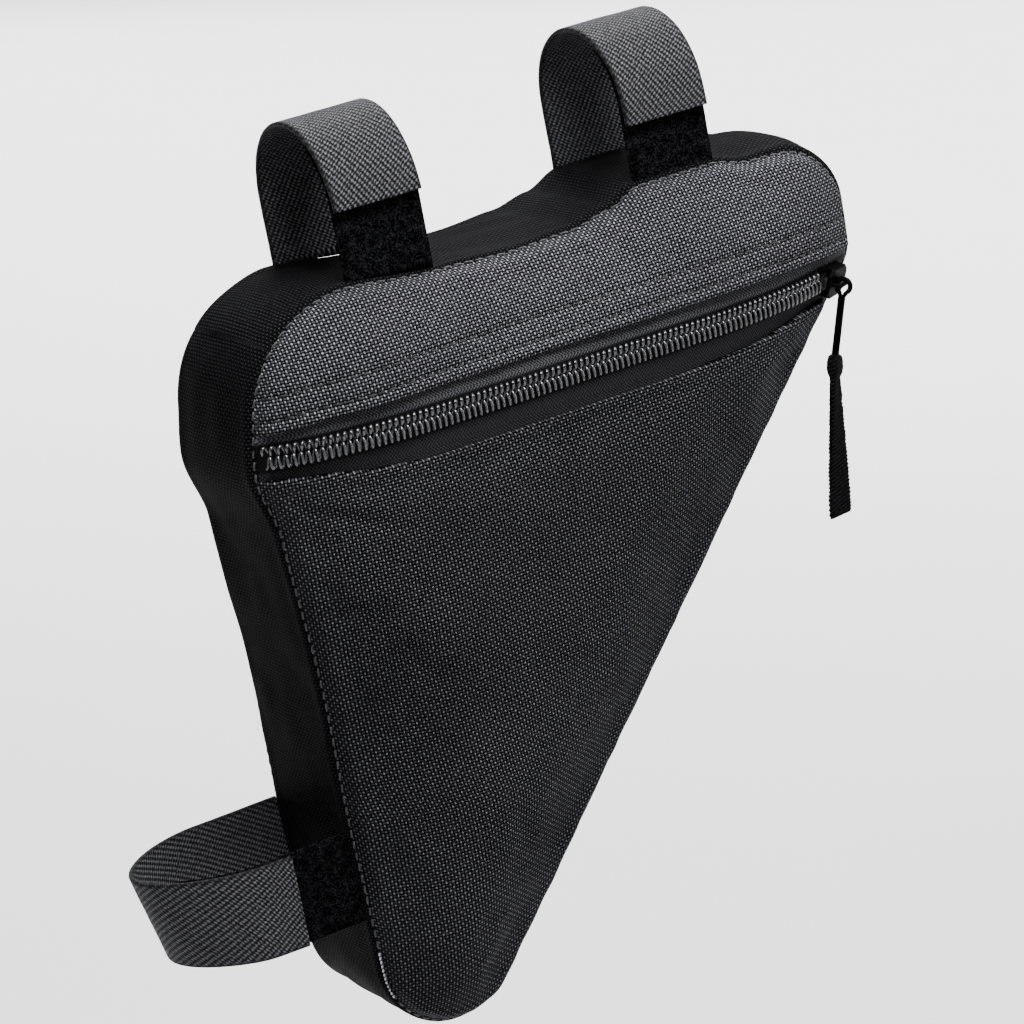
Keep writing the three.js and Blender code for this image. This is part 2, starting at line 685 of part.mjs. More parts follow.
// Folded webbing tab, narrow at the link and wider at its free end, with a rolled head
function pullerTab() {
  const stations = [
    { down: 0.0, wide: 0.75, thick: 0.9 },
    { down: 0.03, wide: 1.05, thick: 1.5 },
    { down: 0.1, wide: 1.08, thick: 1.6 },
    { down: 0.14, wide: 0.85, thick: 1.1 },
    { down: 0.3, wide: 0.9, thick: 1.0 },
    { down: 0.6, wide: 1.0, thick: 1.0 },
    { down: 0.95, wide: 1.0, thick: 1.0 },
    { down: 1.0, wide: 0.92, thick: 0.8 },
  ];
  const SIDES = 10;
  const grid = stations.map((station) => {
    const width = THREE.MathUtils.lerp(TAB_TOP_WIDTH, TAB_BOTTOM_WIDTH, station.down) * station.wide;
    const thick = TAB_THICKNESS * station.thick;
    const line = [];
    for (let i = 0; i < SIDES; i += 1) {
      const turn = (2 * Math.PI * (i + 0.5)) / SIDES;
      const squared = (value) => Math.sign(value) * Math.abs(value) ** 0.6;
      const x = (width / 2) * squared(Math.cos(turn));
      const y = (thick / 2) * squared(Math.sin(turn));
      line.push(new THREE.Vector3(x, y, -TAB_LENGTH * station.down));
    }
    return line;
  });
  return loftedTube(grid);
}

// Closed tube through rings of equal point counts, capped at both ends
function loftedTube(rings) {
  const sides = rings[0].length;
  const positions = rings.flat().flatMap((p) => [p.x, p.y, p.z]);
  const index = [];
  for (let r = 0; r + 1 < rings.length; r += 1) {
    for (let i = 0; i < sides; i += 1) {
      const a = r * sides + i;
      const b = r * sides + ((i + 1) % sides);
      index.push(a, b, b + sides, a, b + sides, a + sides);
    }
  }
  const last = (rings.length - 1) * sides;
  for (let i = 1; i + 1 < sides; i += 1) {
    index.push(0, i + 1, i, last, last + i, last + i + 1);
  }
  return facingOut(positions, index);
}

// Band of tape along a path: pathPoint(share, out, across) gives its two faces
function band(pathPoint, innerOut, outerOut) {
  const layer = (out) => {
    const grid = [];
    for (let i = 0; i <= STRAP_STEPS; i += 1) {
      const line = [];
      for (let j = 0; j <= STRAP_ACROSS_STEPS; j += 1) {
        const across = (j / STRAP_ACROSS_STEPS - 0.5) * STRAP_WIDTH;
        line.push(pathPoint(i / STRAP_STEPS, out, across));
      }
      grid.push(line);
    }
    return grid;
  };
  return slab(layer(outerOut), layer(innerOut));
}

// Route of a strap round its tube: up one side, half a turn, down the other side.
// A place from 0 to PI is an angle; one outside that is a height under the axis on that side.
function loopRoute(place, radius) {
  if (place < 0) return { side: -radius, rise: place };
  if (place > Math.PI) return { side: radius, rise: Math.PI - place };
  return { side: -radius * Math.cos(place), rise: radius * Math.sin(place) };
}

const LOOP_TAPE_TO = Math.PI / 2 - LOOP_TAPE_WRAP_DEG * DEGREE;
const INNER_TAPE_START = 0;
const OUTER_TAPE_START = LOOP_TAPE + PIECE_GAP;

// One top strap's tape, between two places on its route, seated on the top edge
function topStrapTape(strap, from, to, innerOut, thickness, seatedEnds) {
  const pathPoint = (share, out, across) => {
    const place = spreadPlace(from, to, share);
    const route = loopRoute(place, TOP_TUBE_RADIUS + out);
    const along = strap.along + across;
    const seat = topEdgeHeight(along) + gussetSwellOnTop(along, route.side);
    let rise = strap.axisRise + route.rise;
    const onStart = share === 0 && seatedEnds.start;
    const onEnd = share === 1 && seatedEnds.end;
    if (onStart || onEnd) rise = seat + PIECE_GAP;
    return new THREE.Vector3(across, route.side, rise);
  };
  return band(pathPoint, innerOut, innerOut + thickness);
}

// Places spread along a route so that its bends get most of the steps
function spreadPlace(from, to, share) {
  const STRAIGHT_SHARE = 0.125;
  const startShare = from < 0 ? STRAIGHT_SHARE : 0;
  const endShare = to > Math.PI ? STRAIGHT_SHARE : 0;
  const bendFrom = Math.max(from, 0);
  const bendTo = Math.min(to, Math.PI);
  if (share < startShare) return from * (1 - share / startShare);
  if (share > 1 - endShare) {
    return THREE.MathUtils.lerp(Math.PI, to, (share - 1 + endShare) / endShare);
  }
  const bendShare = (share - startShare) / (1 - startShare - endShare);
  return THREE.MathUtils.lerp(bendFrom, bendTo, bendShare);
}

// Swell of the gusset's top run at a place along it and through its depth
function gussetSwellOnTop(x, y) {
  let nearest = 0;
  const COUNT = 400;
  for (let i = 0; i < COUNT * 0.3; i += 1) {
    const here = Math.abs(outlineAt(i / COUNT).x - x);
    if (here < Math.abs(outlineAt(nearest).x - x)) nearest = i / COUNT;
  }
  const swell = GUSSET_SWELL * tableValue(GUSSET_SWELL_ROUND, 'round', 'swell', nearest);
  return swell * (1 - (y / HALF_DEPTH) ** 2);
}

// One of the seat strap's tapes, square to the seat-tube edge
function seatStrapTape(from, to, innerOut, thickness, seatedEnds) {
  const pathPoint = (share, out, across) => {
    const place = spreadPlace(from, to, share);
    const route = loopRoute(place, SEAT_TUBE_GAP_RADIUS + out);
    const farShare = Math.max(Math.sin(THREE.MathUtils.clamp(place, 0, Math.PI)), 0);
    const nose = SEAT_STRAP.nose * farShare ** 4;
    const skew = SEAT_STRAP.skew * farShare * (across / (STRAP_WIDTH / 2));
    let x = -SEAT_STRAP.axisOut - route.rise - nose - skew;
    const seat = seatEdgeX(-SEAT_STRAP.drop + across);
    const swell = GUSSET_SWELL * SEAT_RUN_SWELL * (1 - (route.side / HALF_DEPTH) ** 2);
    const onStart = share === 0 && seatedEnds.start;
    const onEnd = share === 1 && seatedEnds.end;
    if (onStart || onEnd) x = seat - swell - PIECE_GAP;
    return new THREE.Vector3(x, route.side, across);
  };
  return band(pathPoint, innerOut, innerOut + thickness);
}

// Materials
function finish(color, roughness, metalness = 0) {
  return new THREE.MeshStandardMaterial({ color, roughness, metalness });
}

const CLOTH_FINISH = finish(0x3a3a40, 0.8);
const GUSSET_FINISH = finish(0x222226, 0.85);
const TAPE_FINISH = finish(0x2c2c30, 0.85);
const COIL_FINISH = finish(0x55555a, 0.45);
const LOOP_FINISH = finish(0x16161a, 0.95);
const HOOK_FINISH = finish(0x46464c, 0.75);
const METAL_FINISH = finish(0x303034, 0.35, 0.8);
const WEBBING_FINISH = finish(0x202024, 0.8);

function named(name, geometry, material) {
  const mesh = new THREE.Mesh(geometry, material);
  mesh.name = name;
  return mesh;
}

const frameBag = new THREE.Group();
const slopeTurn = new THREE.Group();
slopeTurn.rotation.y = -TUBE_SLOPE;
frameBag.add(slopeTurn);

const pattern = new THREE.Group();
const strapMiddle = (TOP_STRAPS[0].along + TOP_STRAPS[1].along) / 2;
const axisMiddle = (TOP_STRAPS[0].axisRise + TOP_STRAPS[1].axisRise) / 2;
pattern.position.set(-strapMiddle, 0, -axisMiddle);
slopeTurn.add(pattern);

const upperFlat = patchPoints(upperPanelPatch(), 36, 8);
const lowerFlat = patchPoints(lowerPanelPatch(), 14, 26);
const backFlat = patchPoints(backPanelPatch(), 20, 24);
pattern.add(named('front_panel_upper', panelShell(upperFlat, -1), CLOTH_FINISH));
pattern.add(named('front_panel_lower', panelShell(lowerFlat, -1), CLOTH_FINISH));
pattern.add(named('back_panel', panelShell(backFlat, 1), CLOTH_FINISH));
pattern.add(named('gusset', gussetRing(), GUSSET_FINISH));
pattern.add(named('zip_tape_upper', notchedTape(ZIP_FOLD_ABOVE + TAPE_UNDER_FOLD), TAPE_FINISH));
pattern.add(named('zip_tape_lower', notchedTape(-ZIP_FOLD_BELOW - TAPE_UNDER_FOLD), TAPE_FINISH));
pattern.add(named('zip_coil', zipCoil(), COIL_FINISH));

const slider = new THREE.Group();
slider.applyMatrix4(sliderFrame());
slider.add(named('zip_slider', sliderBody(), METAL_FINISH));
pattern.add(slider);

for (const strap of TOP_STRAPS) {
  const holder = new THREE.Group();
  holder.position.x = strap.along;
  const loopFrom = -strap.axisRise;
  const loop = topStrapTape(strap, loopFrom, LOOP_TAPE_TO, INNER_TAPE_START, LOOP_TAPE, { start: true });
  const hookFrom = HOOK_END_RISE - strap.axisRise;
  const hookTo = Math.PI + strap.axisRise;
  const hook = topStrapTape(strap, hookFrom, hookTo, OUTER_TAPE_START, HOOK_TAPE, { end: true });
  holder.add(named(`${strap.name}_loop_tape`, loop, LOOP_FINISH));
  holder.add(named(`${strap.name}_hook_tape`, hook, HOOK_FINISH));
  pattern.add(holder);
}

const seatHolder = new THREE.Group();
seatHolder.position.z = -SEAT_STRAP.drop;
const seatReach = SEAT_STRAP.axisOut + seatEdgeX(-SEAT_STRAP.drop);
const seatLoop = seatStrapTape(-seatReach, LOOP_TAPE_TO, INNER_TAPE_START, LOOP_TAPE, { start: true });
const seatHookFrom = SEAT_STRAP.hookEndOut - SEAT_STRAP.axisOut;
const seatHookTo = Math.PI + seatReach;
const seatHook = seatStrapTape(seatHookFrom, seatHookTo, OUTER_TAPE_START, HOOK_TAPE, { end: true });
seatHolder.add(named(`${SEAT_STRAP.name}_loop_tape`, seatLoop, LOOP_FINISH));
seatHolder.add(named(`${SEAT_STRAP.name}_hook_tape`, seatHook, HOOK_FINISH));
pattern.add(seatHolder);

// The puller hangs plumb from the bridge, whatever the slope of the bag
frameBag.updateMatrixWorld(true);
const pivot = new THREE.Vector3(LINK_ALONG_BEAM, BEAM_Y, 0).applyMatrix4(slider.matrixWorld);
const beamEnd = new THREE.Vector3(1, BEAM_Y, 0).applyMatrix4(slider.matrixWorld);
const puller = new THREE.Group();
puller.position.copy(pivot);
puller.rotation.z = Math.atan2(beamEnd.y - pivot.y, beamEnd.x - pivot.x);
puller.add(named('puller_link', pullerLink(), METAL_FINISH));
const tab = named('puller_tab', pullerTab(), WEBBING_FINISH);
tab.position.z = -(LINK_LENGTH - LINK_SLOT / 2 - LINK_WIRE) - PIECE_GAP;
puller.add(tab);
frameBag.add(puller);

export default frameBag;
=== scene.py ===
"""Looks of the triangular bicycle frame bag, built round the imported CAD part."""

import json
import math

import bmesh
import bpy
import numpy as np
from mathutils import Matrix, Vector
from mathutils.bvhtree import BVHTree


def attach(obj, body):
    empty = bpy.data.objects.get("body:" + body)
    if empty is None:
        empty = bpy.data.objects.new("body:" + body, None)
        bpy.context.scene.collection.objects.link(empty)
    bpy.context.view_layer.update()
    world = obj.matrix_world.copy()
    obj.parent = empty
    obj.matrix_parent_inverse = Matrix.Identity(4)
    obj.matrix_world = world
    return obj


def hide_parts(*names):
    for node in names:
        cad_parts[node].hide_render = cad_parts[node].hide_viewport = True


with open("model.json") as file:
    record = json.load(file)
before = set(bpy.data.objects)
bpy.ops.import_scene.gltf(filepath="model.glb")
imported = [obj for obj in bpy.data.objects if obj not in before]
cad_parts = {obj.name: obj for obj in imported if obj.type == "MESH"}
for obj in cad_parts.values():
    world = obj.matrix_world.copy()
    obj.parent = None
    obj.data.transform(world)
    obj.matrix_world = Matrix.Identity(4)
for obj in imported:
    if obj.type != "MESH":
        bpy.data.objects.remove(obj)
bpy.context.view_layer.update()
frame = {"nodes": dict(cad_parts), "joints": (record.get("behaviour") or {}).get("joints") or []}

# Sizes that the part's source also uses, in millimetres and degrees
BAG_LENGTH = 186.0
TUBE_SLOPE = math.radians(11.7)
SEAM_PLANE = 22.5
SEAT_EDGE_RUN = math.tan(math.radians(2.2))
POINT_DROP = 233.0
END_DROP = 32.0
SEAT_CORNER_RADIUS = 34.0
TOP_END_RADIUS = 17.0
ZIP_END_RADIUS = 9.0
POINT_RADIUS = 21.0
TOP_EDGE_PULL = 4.0
SEAT_EDGE_PULL = 2.5
PATTERN_ORIGIN = (92.75, 0.0, 20.25)
FRONT_SWELL = 15.0
BACK_SWELL = 9.0
EDGE_ROLL_RISE = 2.5
EDGE_ROLL_WIDTH = 4.0
DOME_REACH = 38.0
GUSSET_SWELL = 5.0
DENT_DEPTH = 1.6
ZIP_DROP = 36.0
ZIP_FOLD_ABOVE = 7.5
ZIP_FOLD_BELOW = 9.5
STRAP_WIDTH = 25.4
LOOP_TAPE = 1.2
HOOK_TAPE = 1.3
TUBE_RADIUS = 19.0
HOOK_END_RISE = 18.5
LOOP_TAPE_TO = math.radians(55)
MM = 0.001

# Sizes of the cloth's own detail, in millimetres
CLOTH = 1.2
SEAM_DEPTH = 1.3
SEAM_WIDTH = 1.5
SEAM_RIDGE = 0.5
FOLD_ROUND = 0.7
STITCH_ROWS = (3.0, 8.6)
STITCH_PITCH = 2.9
STITCH_SINK = 0.8
THREAD = 0.26
HEM_INSET = 3.0
END_LIFT = 0.5

# Creases and puckers of the panels and the gusset, and height of the hem's ridge
CREASE_WIDTH = 46
CREASE_DEPTH = 0.5
PUCKER_PITCH = 11
PUCKER_DEPTH = 0.16
HEM_RIDGE = 0.16
GUSSET_BEND_WIDTH = 38
GUSSET_BEND = 0.55
GUSSET_RIPPLE = 0.14
# A strap's own waviness, and its gap from the gusset where it is sewn on
STRAP_WAVE = 0.14
STRAP_CURL = 0.12
SEWN_GAP = 0.1

# Cloth simulation: most movement, steps, frames, stiffness, air pressure and extra cloth
SIM_CAP = 2.0
SIM_QUALITY = 6
SIM_FRAMES = 20
SIM_STIFFNESS = 30
SIM_BENDING = 0.35
SIM_PRESSURE = 2
SIM_GROWTH = 0.004

# Black of the whole bag: red, green and blue of each grey
BLACK_TINT = (0.99, 0.985, 1.1)
# Weave of the bag's cloth, in millimetres from a thread to the next
WEAVE_ALONG = 0.92
WEAVE_ROWS = 0.83
# From the zip's middle to where its tape comes out from under the coil and its painted shade
TAPE_CLEAR = 4.2
# Dots of the hook tape's back, as two waves: turns per millimetre along and across
HOOK_DOTS = ((0.42, 0.61), (-1.07, 0.74))

# The zip's tapes and its two coil halves, in millimetres
TAPE_END_INSET = 0.3
TAPE_UNDER = 2.0
TAPE_RISE = 0.85
TAPE_THICKNESS = 0.75
COIL_INSET = 1.3
COIL_PITCH = 1.72
COIL_STEPS = 18
COIL_HALF = 3.15
COIL_WIRE = 0.4
COIL_MIDDLE = 0.45
COIL_MESH = -0.12
COIL_UNDER = 0.85
COIL_RISE = 0.55
UPPER_SLANT = 0.55
LOWER_SLANT = 0.12
UPPER_HEAD_DROP = 0.5
LOWER_HEAD_DROP = 0.2

# The puller, in millimetres down from the bridge's middle
LINK_EYE = 2.0
EYE_ASIDE = 0.4
EYE_DOWN = 0.2
EYE_WIRE = 0.7
LINK_LEG = 0.52
LINK_WIRE = 0.56
LINK_DROP = 20.1
TAB_LENGTH = 42.6
TAB_RIB = 1.1
TAB_TWIST = math.radians(36)
SWAY_DOWN = [0.0, 2.0, 19.0, 24.0, 63.0]
SWAY_ASIDE = [0.0, 0.0, -1.6, -1.6, 0.6]
# Share of the tab's length, width, thickness
TAB_STATIONS = [
    (0.0, 1.6, 1.6), (0.015, 3.6, 3.0), (0.045, 4.5, 3.5), (0.085, 4.7, 3.6),
    (0.12, 4.3, 3.2), (0.145, 3.4, 2.2), (0.19, 3.8, 2.1), (0.4, 4.7, 2.2),
    (0.7, 5.7, 2.2), (0.96, 6.3, 2.2), (0.99, 6.2, 2.0), (1.0, 6.0, 1.6),
]

# Tables of the part's source: (place, value)
TOP_EDGE_SAG = [
    (0.0, 0.0), (0.17, 0.0), (0.34, -0.65), (0.45, -0.9), (0.55, -0.75),
    (0.61, -0.2), (0.67, 0.8), (0.79, 0.8), (0.86, 0.2), (1.0, -0.1),
]
SEAT_EDGE_WAVE = [
    (0.0, 0.0), (0.12, 0.1), (0.18, -0.6), (0.25, 0.6), (0.42, 1.0), (0.62, 0.3), (1.0, 0.0),
]
SEAT_RUN_SWELL = 0.1
GUSSET_SWELL_ROUND = [
    (0.0, 0.45), (0.06, 0.1), (0.22, 0.25), (0.29, 0.9), (0.4, 0.8), (0.5, 1.0),
    (0.57, 0.7), (0.62, 0.25), (0.7, SEAT_RUN_SWELL), (0.9, SEAT_RUN_SWELL), (1.0, 0.45),
]
# Soft dents of the front: along, down, wide, tall, depth
FRONT_DENTS = [
    (0.1, 0.3, 0.07, 0.16, 1.0),
    (0.24, 0.52, 0.12, 0.1, 0.5),
    (0.42, 0.07, 0.13, 0.06, 0.9),
    (0.66, 0.34, 0.16, 0.1, 0.35),
]
# Height of each fold beside the zip: along the top edge, height
UPPER_FOLD = [(3.0, -30.0), (22.0, -28.8), (50.0, -28.5), (150.0, -28.5), (180.0, -29.6)]
LOWER_FOLD = [
    (3.0, -41.8), (13.0, -42.6), (28.0, -44.4), (46.0, -45.7),
    (110.0, -45.7), (140.0, -45.0), (172.0, -42.2),
]

# The photo's camera, in degrees, metres and millimetres
CAMERA_AZIMUTH = math.radians(-29.95)
CAMERA_ELEVATION = math.radians(11.05)
CAMERA_DISTANCE = 0.9966
CAMERA_TARGET = (0.00879, 0.0, -0.09909)
CAMERA_LENS = 130.83
SENSOR_WIDTH = 36
# The studio, in metres and watts
FLOOR_HALF = 24.0
FLOOR_HEIGHT = -0.62
SKY_LIGHT = 0.16
FLOOR_LAMP_HEIGHT = 5.0
FLOOR_LAMP_SPREAD = math.radians(70)
# Lamps that shine straight down on the floor round the bag: x, y, size and power
FLOOR_LAMPS = [
    (5.0, 6.0, 11.0, 1600), (-13.0, 3.0, 16.0, 2800),
    (-2.0, -13.0, 16.0, 2800), (14.0, -6.0, 16.0, 2800),
]
# Lamps on the bag itself: name, place, size, power and what it shines at
BAG_LAMPS = [
    ("key", (-0.1, -0.34, 0.56), (0.5, 0.3), 19, (0.0, 0, 0.0)),
    ("side", (1.1, -0.5, 0.35), (0.35, 0.7), 9, (0.05, 0, -0.05)),
    ("rim", (0.4, 0.8, 0.7), (0.6, 0.4), 8, (0.0, 0, -0.05)),
]


# Shape of the bag, in the pattern frame: x along the top edge, y into the bag, z up
def smoothstep(value, low, high):
    share = np.clip((value - low) / (high - low), 0, 1)
    return share * share * (3 - 2 * share)


def bell(value, middle, width):
    return np.exp(-(((value - middle) / width) ** 2))


def table_value(rows, place):
    keys = np.array([row[0] for row in rows])
    values = np.array([row[1] for row in rows])
    high = np.clip(np.searchsorted(keys, place), 1, len(rows) - 1)
    eased = smoothstep(place, keys[high - 1], keys[high])
    return values[high - 1] + (values[high] - values[high - 1]) * eased


def corner_arc(before, corner, after, radius, steps=24):
    to_before = (before - corner) / np.linalg.norm(before - corner)
    to_after = (after - corner) / np.linalg.norm(after - corner)
    half = math.acos(to_before @ to_after) / 2
    middle = (to_before + to_after) / np.linalg.norm(to_before + to_after)
    centre = corner + middle * radius / math.sin(half)
    start = corner + to_before * radius / math.tan(half) - centre
    turns = -(math.pi - 2 * half) * np.linspace(0, 1, steps + 1)
    x = start[0] * np.cos(turns) - start[1] * np.sin(turns)
    z = start[0] * np.sin(turns) + start[1] * np.cos(turns)
    return centre + np.stack([x, z], -1)


def pulled(points):
    x, z = points[:, 0], points[:, 1]
    near_top = 1 - smoothstep(-z, 0, SEAT_CORNER_RADIUS)
    near_seat = 1 - smoothstep(x + z * SEAT_EDGE_RUN, 0, POINT_RADIUS)
    lift = TOP_EDGE_PULL * near_top * table_value(TOP_EDGE_SAG, x / BAG_LENGTH)
    wave = SEAT_EDGE_PULL * near_seat * table_value(SEAT_EDGE_WAVE, -z / POINT_DROP)
    return np.stack([x + wave, z + lift], -1)


def build_outline():
    corners = [
        (np.array([0.0, 0.0]), SEAT_CORNER_RADIUS),
        (np.array([BAG_LENGTH, 0.0]), TOP_END_RADIUS),
        (np.array([BAG_LENGTH, -END_DROP]), ZIP_END_RADIUS),
        (np.array([SEAT_EDGE_RUN * POINT_DROP, -POINT_DROP]), POINT_RADIUS),
    ]
    plain = []
    for i, (point, radius) in enumerate(corners):
        before = corners[i - 1][0]
        after = corners[(i + 1) % 4][0]
        plain.append(corner_arc(before, point, after, radius))
    plain = np.concatenate(plain + [plain[0][:1]])
    lengths = np.linalg.norm(np.diff(plain, axis=0), axis=1)
    reached = np.concatenate([[0], np.cumsum(lengths)])
    count = round(reached[-1])
    places = np.arange(count) / count * reached[-1]
    spaced = np.stack([np.interp(places, reached, plain[:, k]) for k in (0, 1)], -1)
    shift = int(np.argmax(spaced.sum(1) > 0))
    return pulled(np.roll(spaced, -shift, axis=0))


OUTLINE = build_outline()
OUTLINE_STEP = float(np.linalg.norm(OUTLINE[1] - OUTLINE[0]))
OUTLINE_NEXT = np.roll(OUTLINE, -1, axis=0)


def outline_at(share):
    place = (np.asarray(share, float) % 1) * len(OUTLINE)
    low = np.floor(place).astype(int) % len(OUTLINE)
    part = (place - np.floor(place))[..., None]
    return OUTLINE[low] * (1 - part) + OUTLINE_NEXT[low] * part


def outline_normal(share):
    span = 3 / len(OUTLINE)
    along = outline_at(share + span) - outline_at(share - span)
    along /= np.linalg.norm(along, axis=-1, keepdims=True)
    return np.stack([-along[..., 1], along[..., 0]], -1)


def round_at_height(height, seat_side):
    here = OUTLINE[:, 1] - height
    there = OUTLINE_NEXT[:, 1] - height
    crosses = (here < 0) & (there >= 0) if seat_side else (here >= 0) & (there < 0)
    index = int(np.argmax(crosses))
    return (index - here[index] / (there[index] - here[index])) / len(OUTLINE)


def in_chunks(measure, points, size=3000):
    flat = points.reshape(-1, 2)
    parts = [measure(flat[i:i + size]) for i in range(0, len(flat), size)]
    return [np.concatenate(values).reshape(points.shape[:-1]) for values in zip(*parts)]


def both_distances(points):
    """Smooth distance from the rim, exact signed distance, and place along the outline."""
    apart = points[:, None] - OUTLINE[None]
    squared = np.maximum(apart[..., 0] ** 2 + apart[..., 1] ** 2, 1e-9)
    smooth = ((OUTLINE_STEP / squared**2).sum(1) / (math.pi / 2)) ** (-1 / 3)
    nearest = squared.argmin(1)
    best = np.full(len(points), np.inf)
    exact, place = np.zeros(len(points)), np.zeros(len(points))
    for first in (nearest - 1, nearest):
        first = first % len(OUTLINE)
        step, to_point = OUTLINE_NEXT[first] - OUTLINE[first], points - OUTLINE[first]
        share = np.clip((to_point * step).sum(-1) / (step * step).sum(-1), 0, 1)
        length = np.linalg.norm(to_point - share[:, None] * step, axis=-1)
        outside = step[:, 0] * to_point[:, 1] - step[:, 1] * to_point[:, 0] > 0
        better = length < best
        best = np.where(better, length, best)
        exact = np.where(better, length * np.where(outside, -1, 1), exact)
        place = np.where(better, first + share, place)
    smooth = np.where(np.sqrt(squared.min(1)) < OUTLINE_STEP, exact, smooth)
    return smooth, exact, place / len(OUTLINE)


def dents_at(points):
    depth = np.zeros(points.shape[:-1])
    for along, down, wide, tall, share in FRONT_DENTS:
        across = (points[..., 0] / BAG_LENGTH - along) / wide
        below = (-points[..., 1] / POINT_DROP - down) / tall
        depth += DENT_DEPTH * share * np.exp(-(across**2 + below**2))
    return depth


class Sheet:
    """Values on an even grid over the pattern, read between its points."""

    def __init__(self, step=1.5):
        self.step = step
        self.x = np.arange(-12, BAG_LENGTH + 12, step)
        self.z = np.arange(-POINT_DROP, 14, step)
        self.flat = np.stack(np.meshgrid(self.x, self.z), -1)

    def read(self, values, points):
        column = np.clip((points[..., 0] - self.x[0]) / self.step, 0, len(self.x) - 1.001)
        row = np.clip((points[..., 1] - self.z[0]) / self.step, 0, len(self.z) - 1.001)
        c, r = column.astype(int), row.astype(int)
        s, t = column - c, row - r
        low = values[r, c] * (1 - s) + values[r, c + 1] * s
        high = values[r + 1, c] * (1 - s) + values[r + 1, c + 1] * s
        return low * (1 - t) + high * t


SHEET = Sheet()
SHEET_EDGE, SHEET_INSIDE, _ = in_chunks(both_distances, SHEET.flat)


def swell_at(points, side, edge=None):
    swell = FRONT_SWELL if side < 0 else BACK_SWELL
    if edge is None:
        edge = SHEET.read(SHEET_EDGE, points)
    roll = EDGE_ROLL_RISE * (1 - np.exp(-edge / EDGE_ROLL_WIDTH))
    share = np.minimum(edge / DOME_REACH, 1)
    dome = (swell - EDGE_ROLL_RISE) * share * (2 - share)
    return roll + dome - (dents_at(points) * share if side < 0 else 0)


def cloth_lengths(side):
    """Length of cloth over each point of the sheet, along both ways from the bag's middle."""
    height = np.where(SHEET_INSIDE > 0, swell_at(SHEET.flat, side, np.maximum(SHEET_EDGE, 0)), 0)
    along = np.hypot(SHEET.step, np.diff(height, axis=1)).cumsum(1)
    down = np.hypot(SHEET.step, np.diff(height, axis=0)).cumsum(0)
    along = np.pad(along, ((0, 0), (1, 0)))
    down = np.pad(down, ((1, 0), (0, 0)))
    middle = np.argmin(np.abs(SHEET.x - BAG_LENGTH / 2))
    level = np.argmin(np.abs(SHEET.z + ZIP_DROP))
    return along - along[:, middle:middle + 1], down - down[level:level + 1]


def panel_point(flat, side, under):
    """Points on a side's outer face, or under it, with the face's outward normals."""
    span = 0.5
    here = swell_at(flat, side)
    slope_x = (swell_at(flat + [span, 0], side) - swell_at(flat - [span, 0], side)) / (2 * span)
    slope_z = (swell_at(flat + [0, span], side) - swell_at(flat - [0, span], side)) / (2 * span)
    normal = np.stack([-slope_x, np.full_like(here, side), -slope_z], -1)
    normal /= np.linalg.norm(normal, axis=-1, keepdims=True)
    place = np.stack([flat[..., 0], side * (SEAM_PLANE + here), flat[..., 1]], -1)
    return place - normal * np.asarray(under)[..., None], normal


def turned(points, angle):
    """Points or moves turned in the plane of x and z."""
    x, y, z = points[..., 0], points[..., 1], points[..., 2]
    across, up = math.cos(angle), math.sin(angle)
    return np.stack([x * across - z * up, y, x * up + z * across], -1)


def to_part(points):
    """From the pattern frame in millimetres to the part's frame in metres."""
    return turned(points - np.array(PATTERN_ORIGIN), TUBE_SLOPE) * MM


def from_part(points):
    """From the part's frame in metres back to the pattern frame in millimetres."""
    return turned(np.asarray(points) / MM, -TUBE_SLOPE) + np.array(PATTERN_ORIGIN)


# Mesh helpers
def grid_normals(points, closed=False):
    down = np.gradient(points, axis=0)
    if closed:
        across = (np.roll(points, -1, axis=1) - np.roll(points, 1, axis=1)) / 2
    else:
        across = np.gradient(points, axis=1)
    normal = np.cross(across, down)
    return normal / np.maximum(np.linalg.norm(normal, axis=-1, keepdims=True), 1e-12)


def placed(name, data):
    """A new object in the scene."""
    made = bpy.data.objects.new(name, data)
    bpy.context.scene.collection.objects.link(made)
    return made


def mesh_piece(name, points, faces, uvs, material):
    mesh = bpy.data.meshes.new(name)
    mesh.from_pydata([tuple(p) for p in points], [], faces)
    layer = mesh.uv_layers.new(name="cloth")
    loops = np.zeros(len(mesh.loops), int)
    mesh.loops.foreach_get("vertex_index", loops)
    layer.data.foreach_set("uv", np.asarray(uvs, float)[loops].ravel())
    mesh.polygons.foreach_set("use_smooth", [True] * len(mesh.polygons))
    mesh.materials.append(material)
    mesh.update()
    return placed(name, mesh)


def shell_faces(rows, columns, closed):
    layer = np.arange(rows * columns).reshape(rows, columns)
    if closed:
        layer = np.concatenate([layer, layer[:, :1]], 1)
    a, b = layer[:-1, :-1].ravel(), layer[:-1, 1:].ravel()
    c, d = layer[1:, 1:].ravel(), layer[1:, :-1].ravel()
    under = rows * columns
    outer = np.stack([a, b, c, d], -1)
    inner = np.stack([d, c, b, a], -1) + under
    rims = [layer[0, ::-1], layer[-1]]
    if not closed:
        rims += [layer[:, 0], layer[::-1, -1]]
    walls = [np.stack([r[:-1], r[:-1] + under, r[1:] + under, r[1:]], -1)[:, ::-1] for r in rims]
    return np.concatenate([outer, inner] + walls)


def shell(name, outer, inner, uv, material, closed=False):
    """Closed sheet of cloth between two grids, in the pattern frame."""
    rows, columns = outer.shape[:2]
    points = np.concatenate([outer.reshape(-1, 3), inner.reshape(-1, 3)])
    faces = shell_faces(rows, columns, closed)
    uvs = np.concatenate([uv.reshape(-1, 2)] * 2)
    piece = mesh_piece(name, to_part(points), faces.tolist(), uvs, material)
    turn_outward(piece)
    return piece


def turn_outward(piece):
    work = bmesh.new()
    work.from_mesh(piece.data)
    bmesh.ops.recalc_face_normals(work, faces=work.faces)
    work.to_mesh(piece.data)
    work.free()


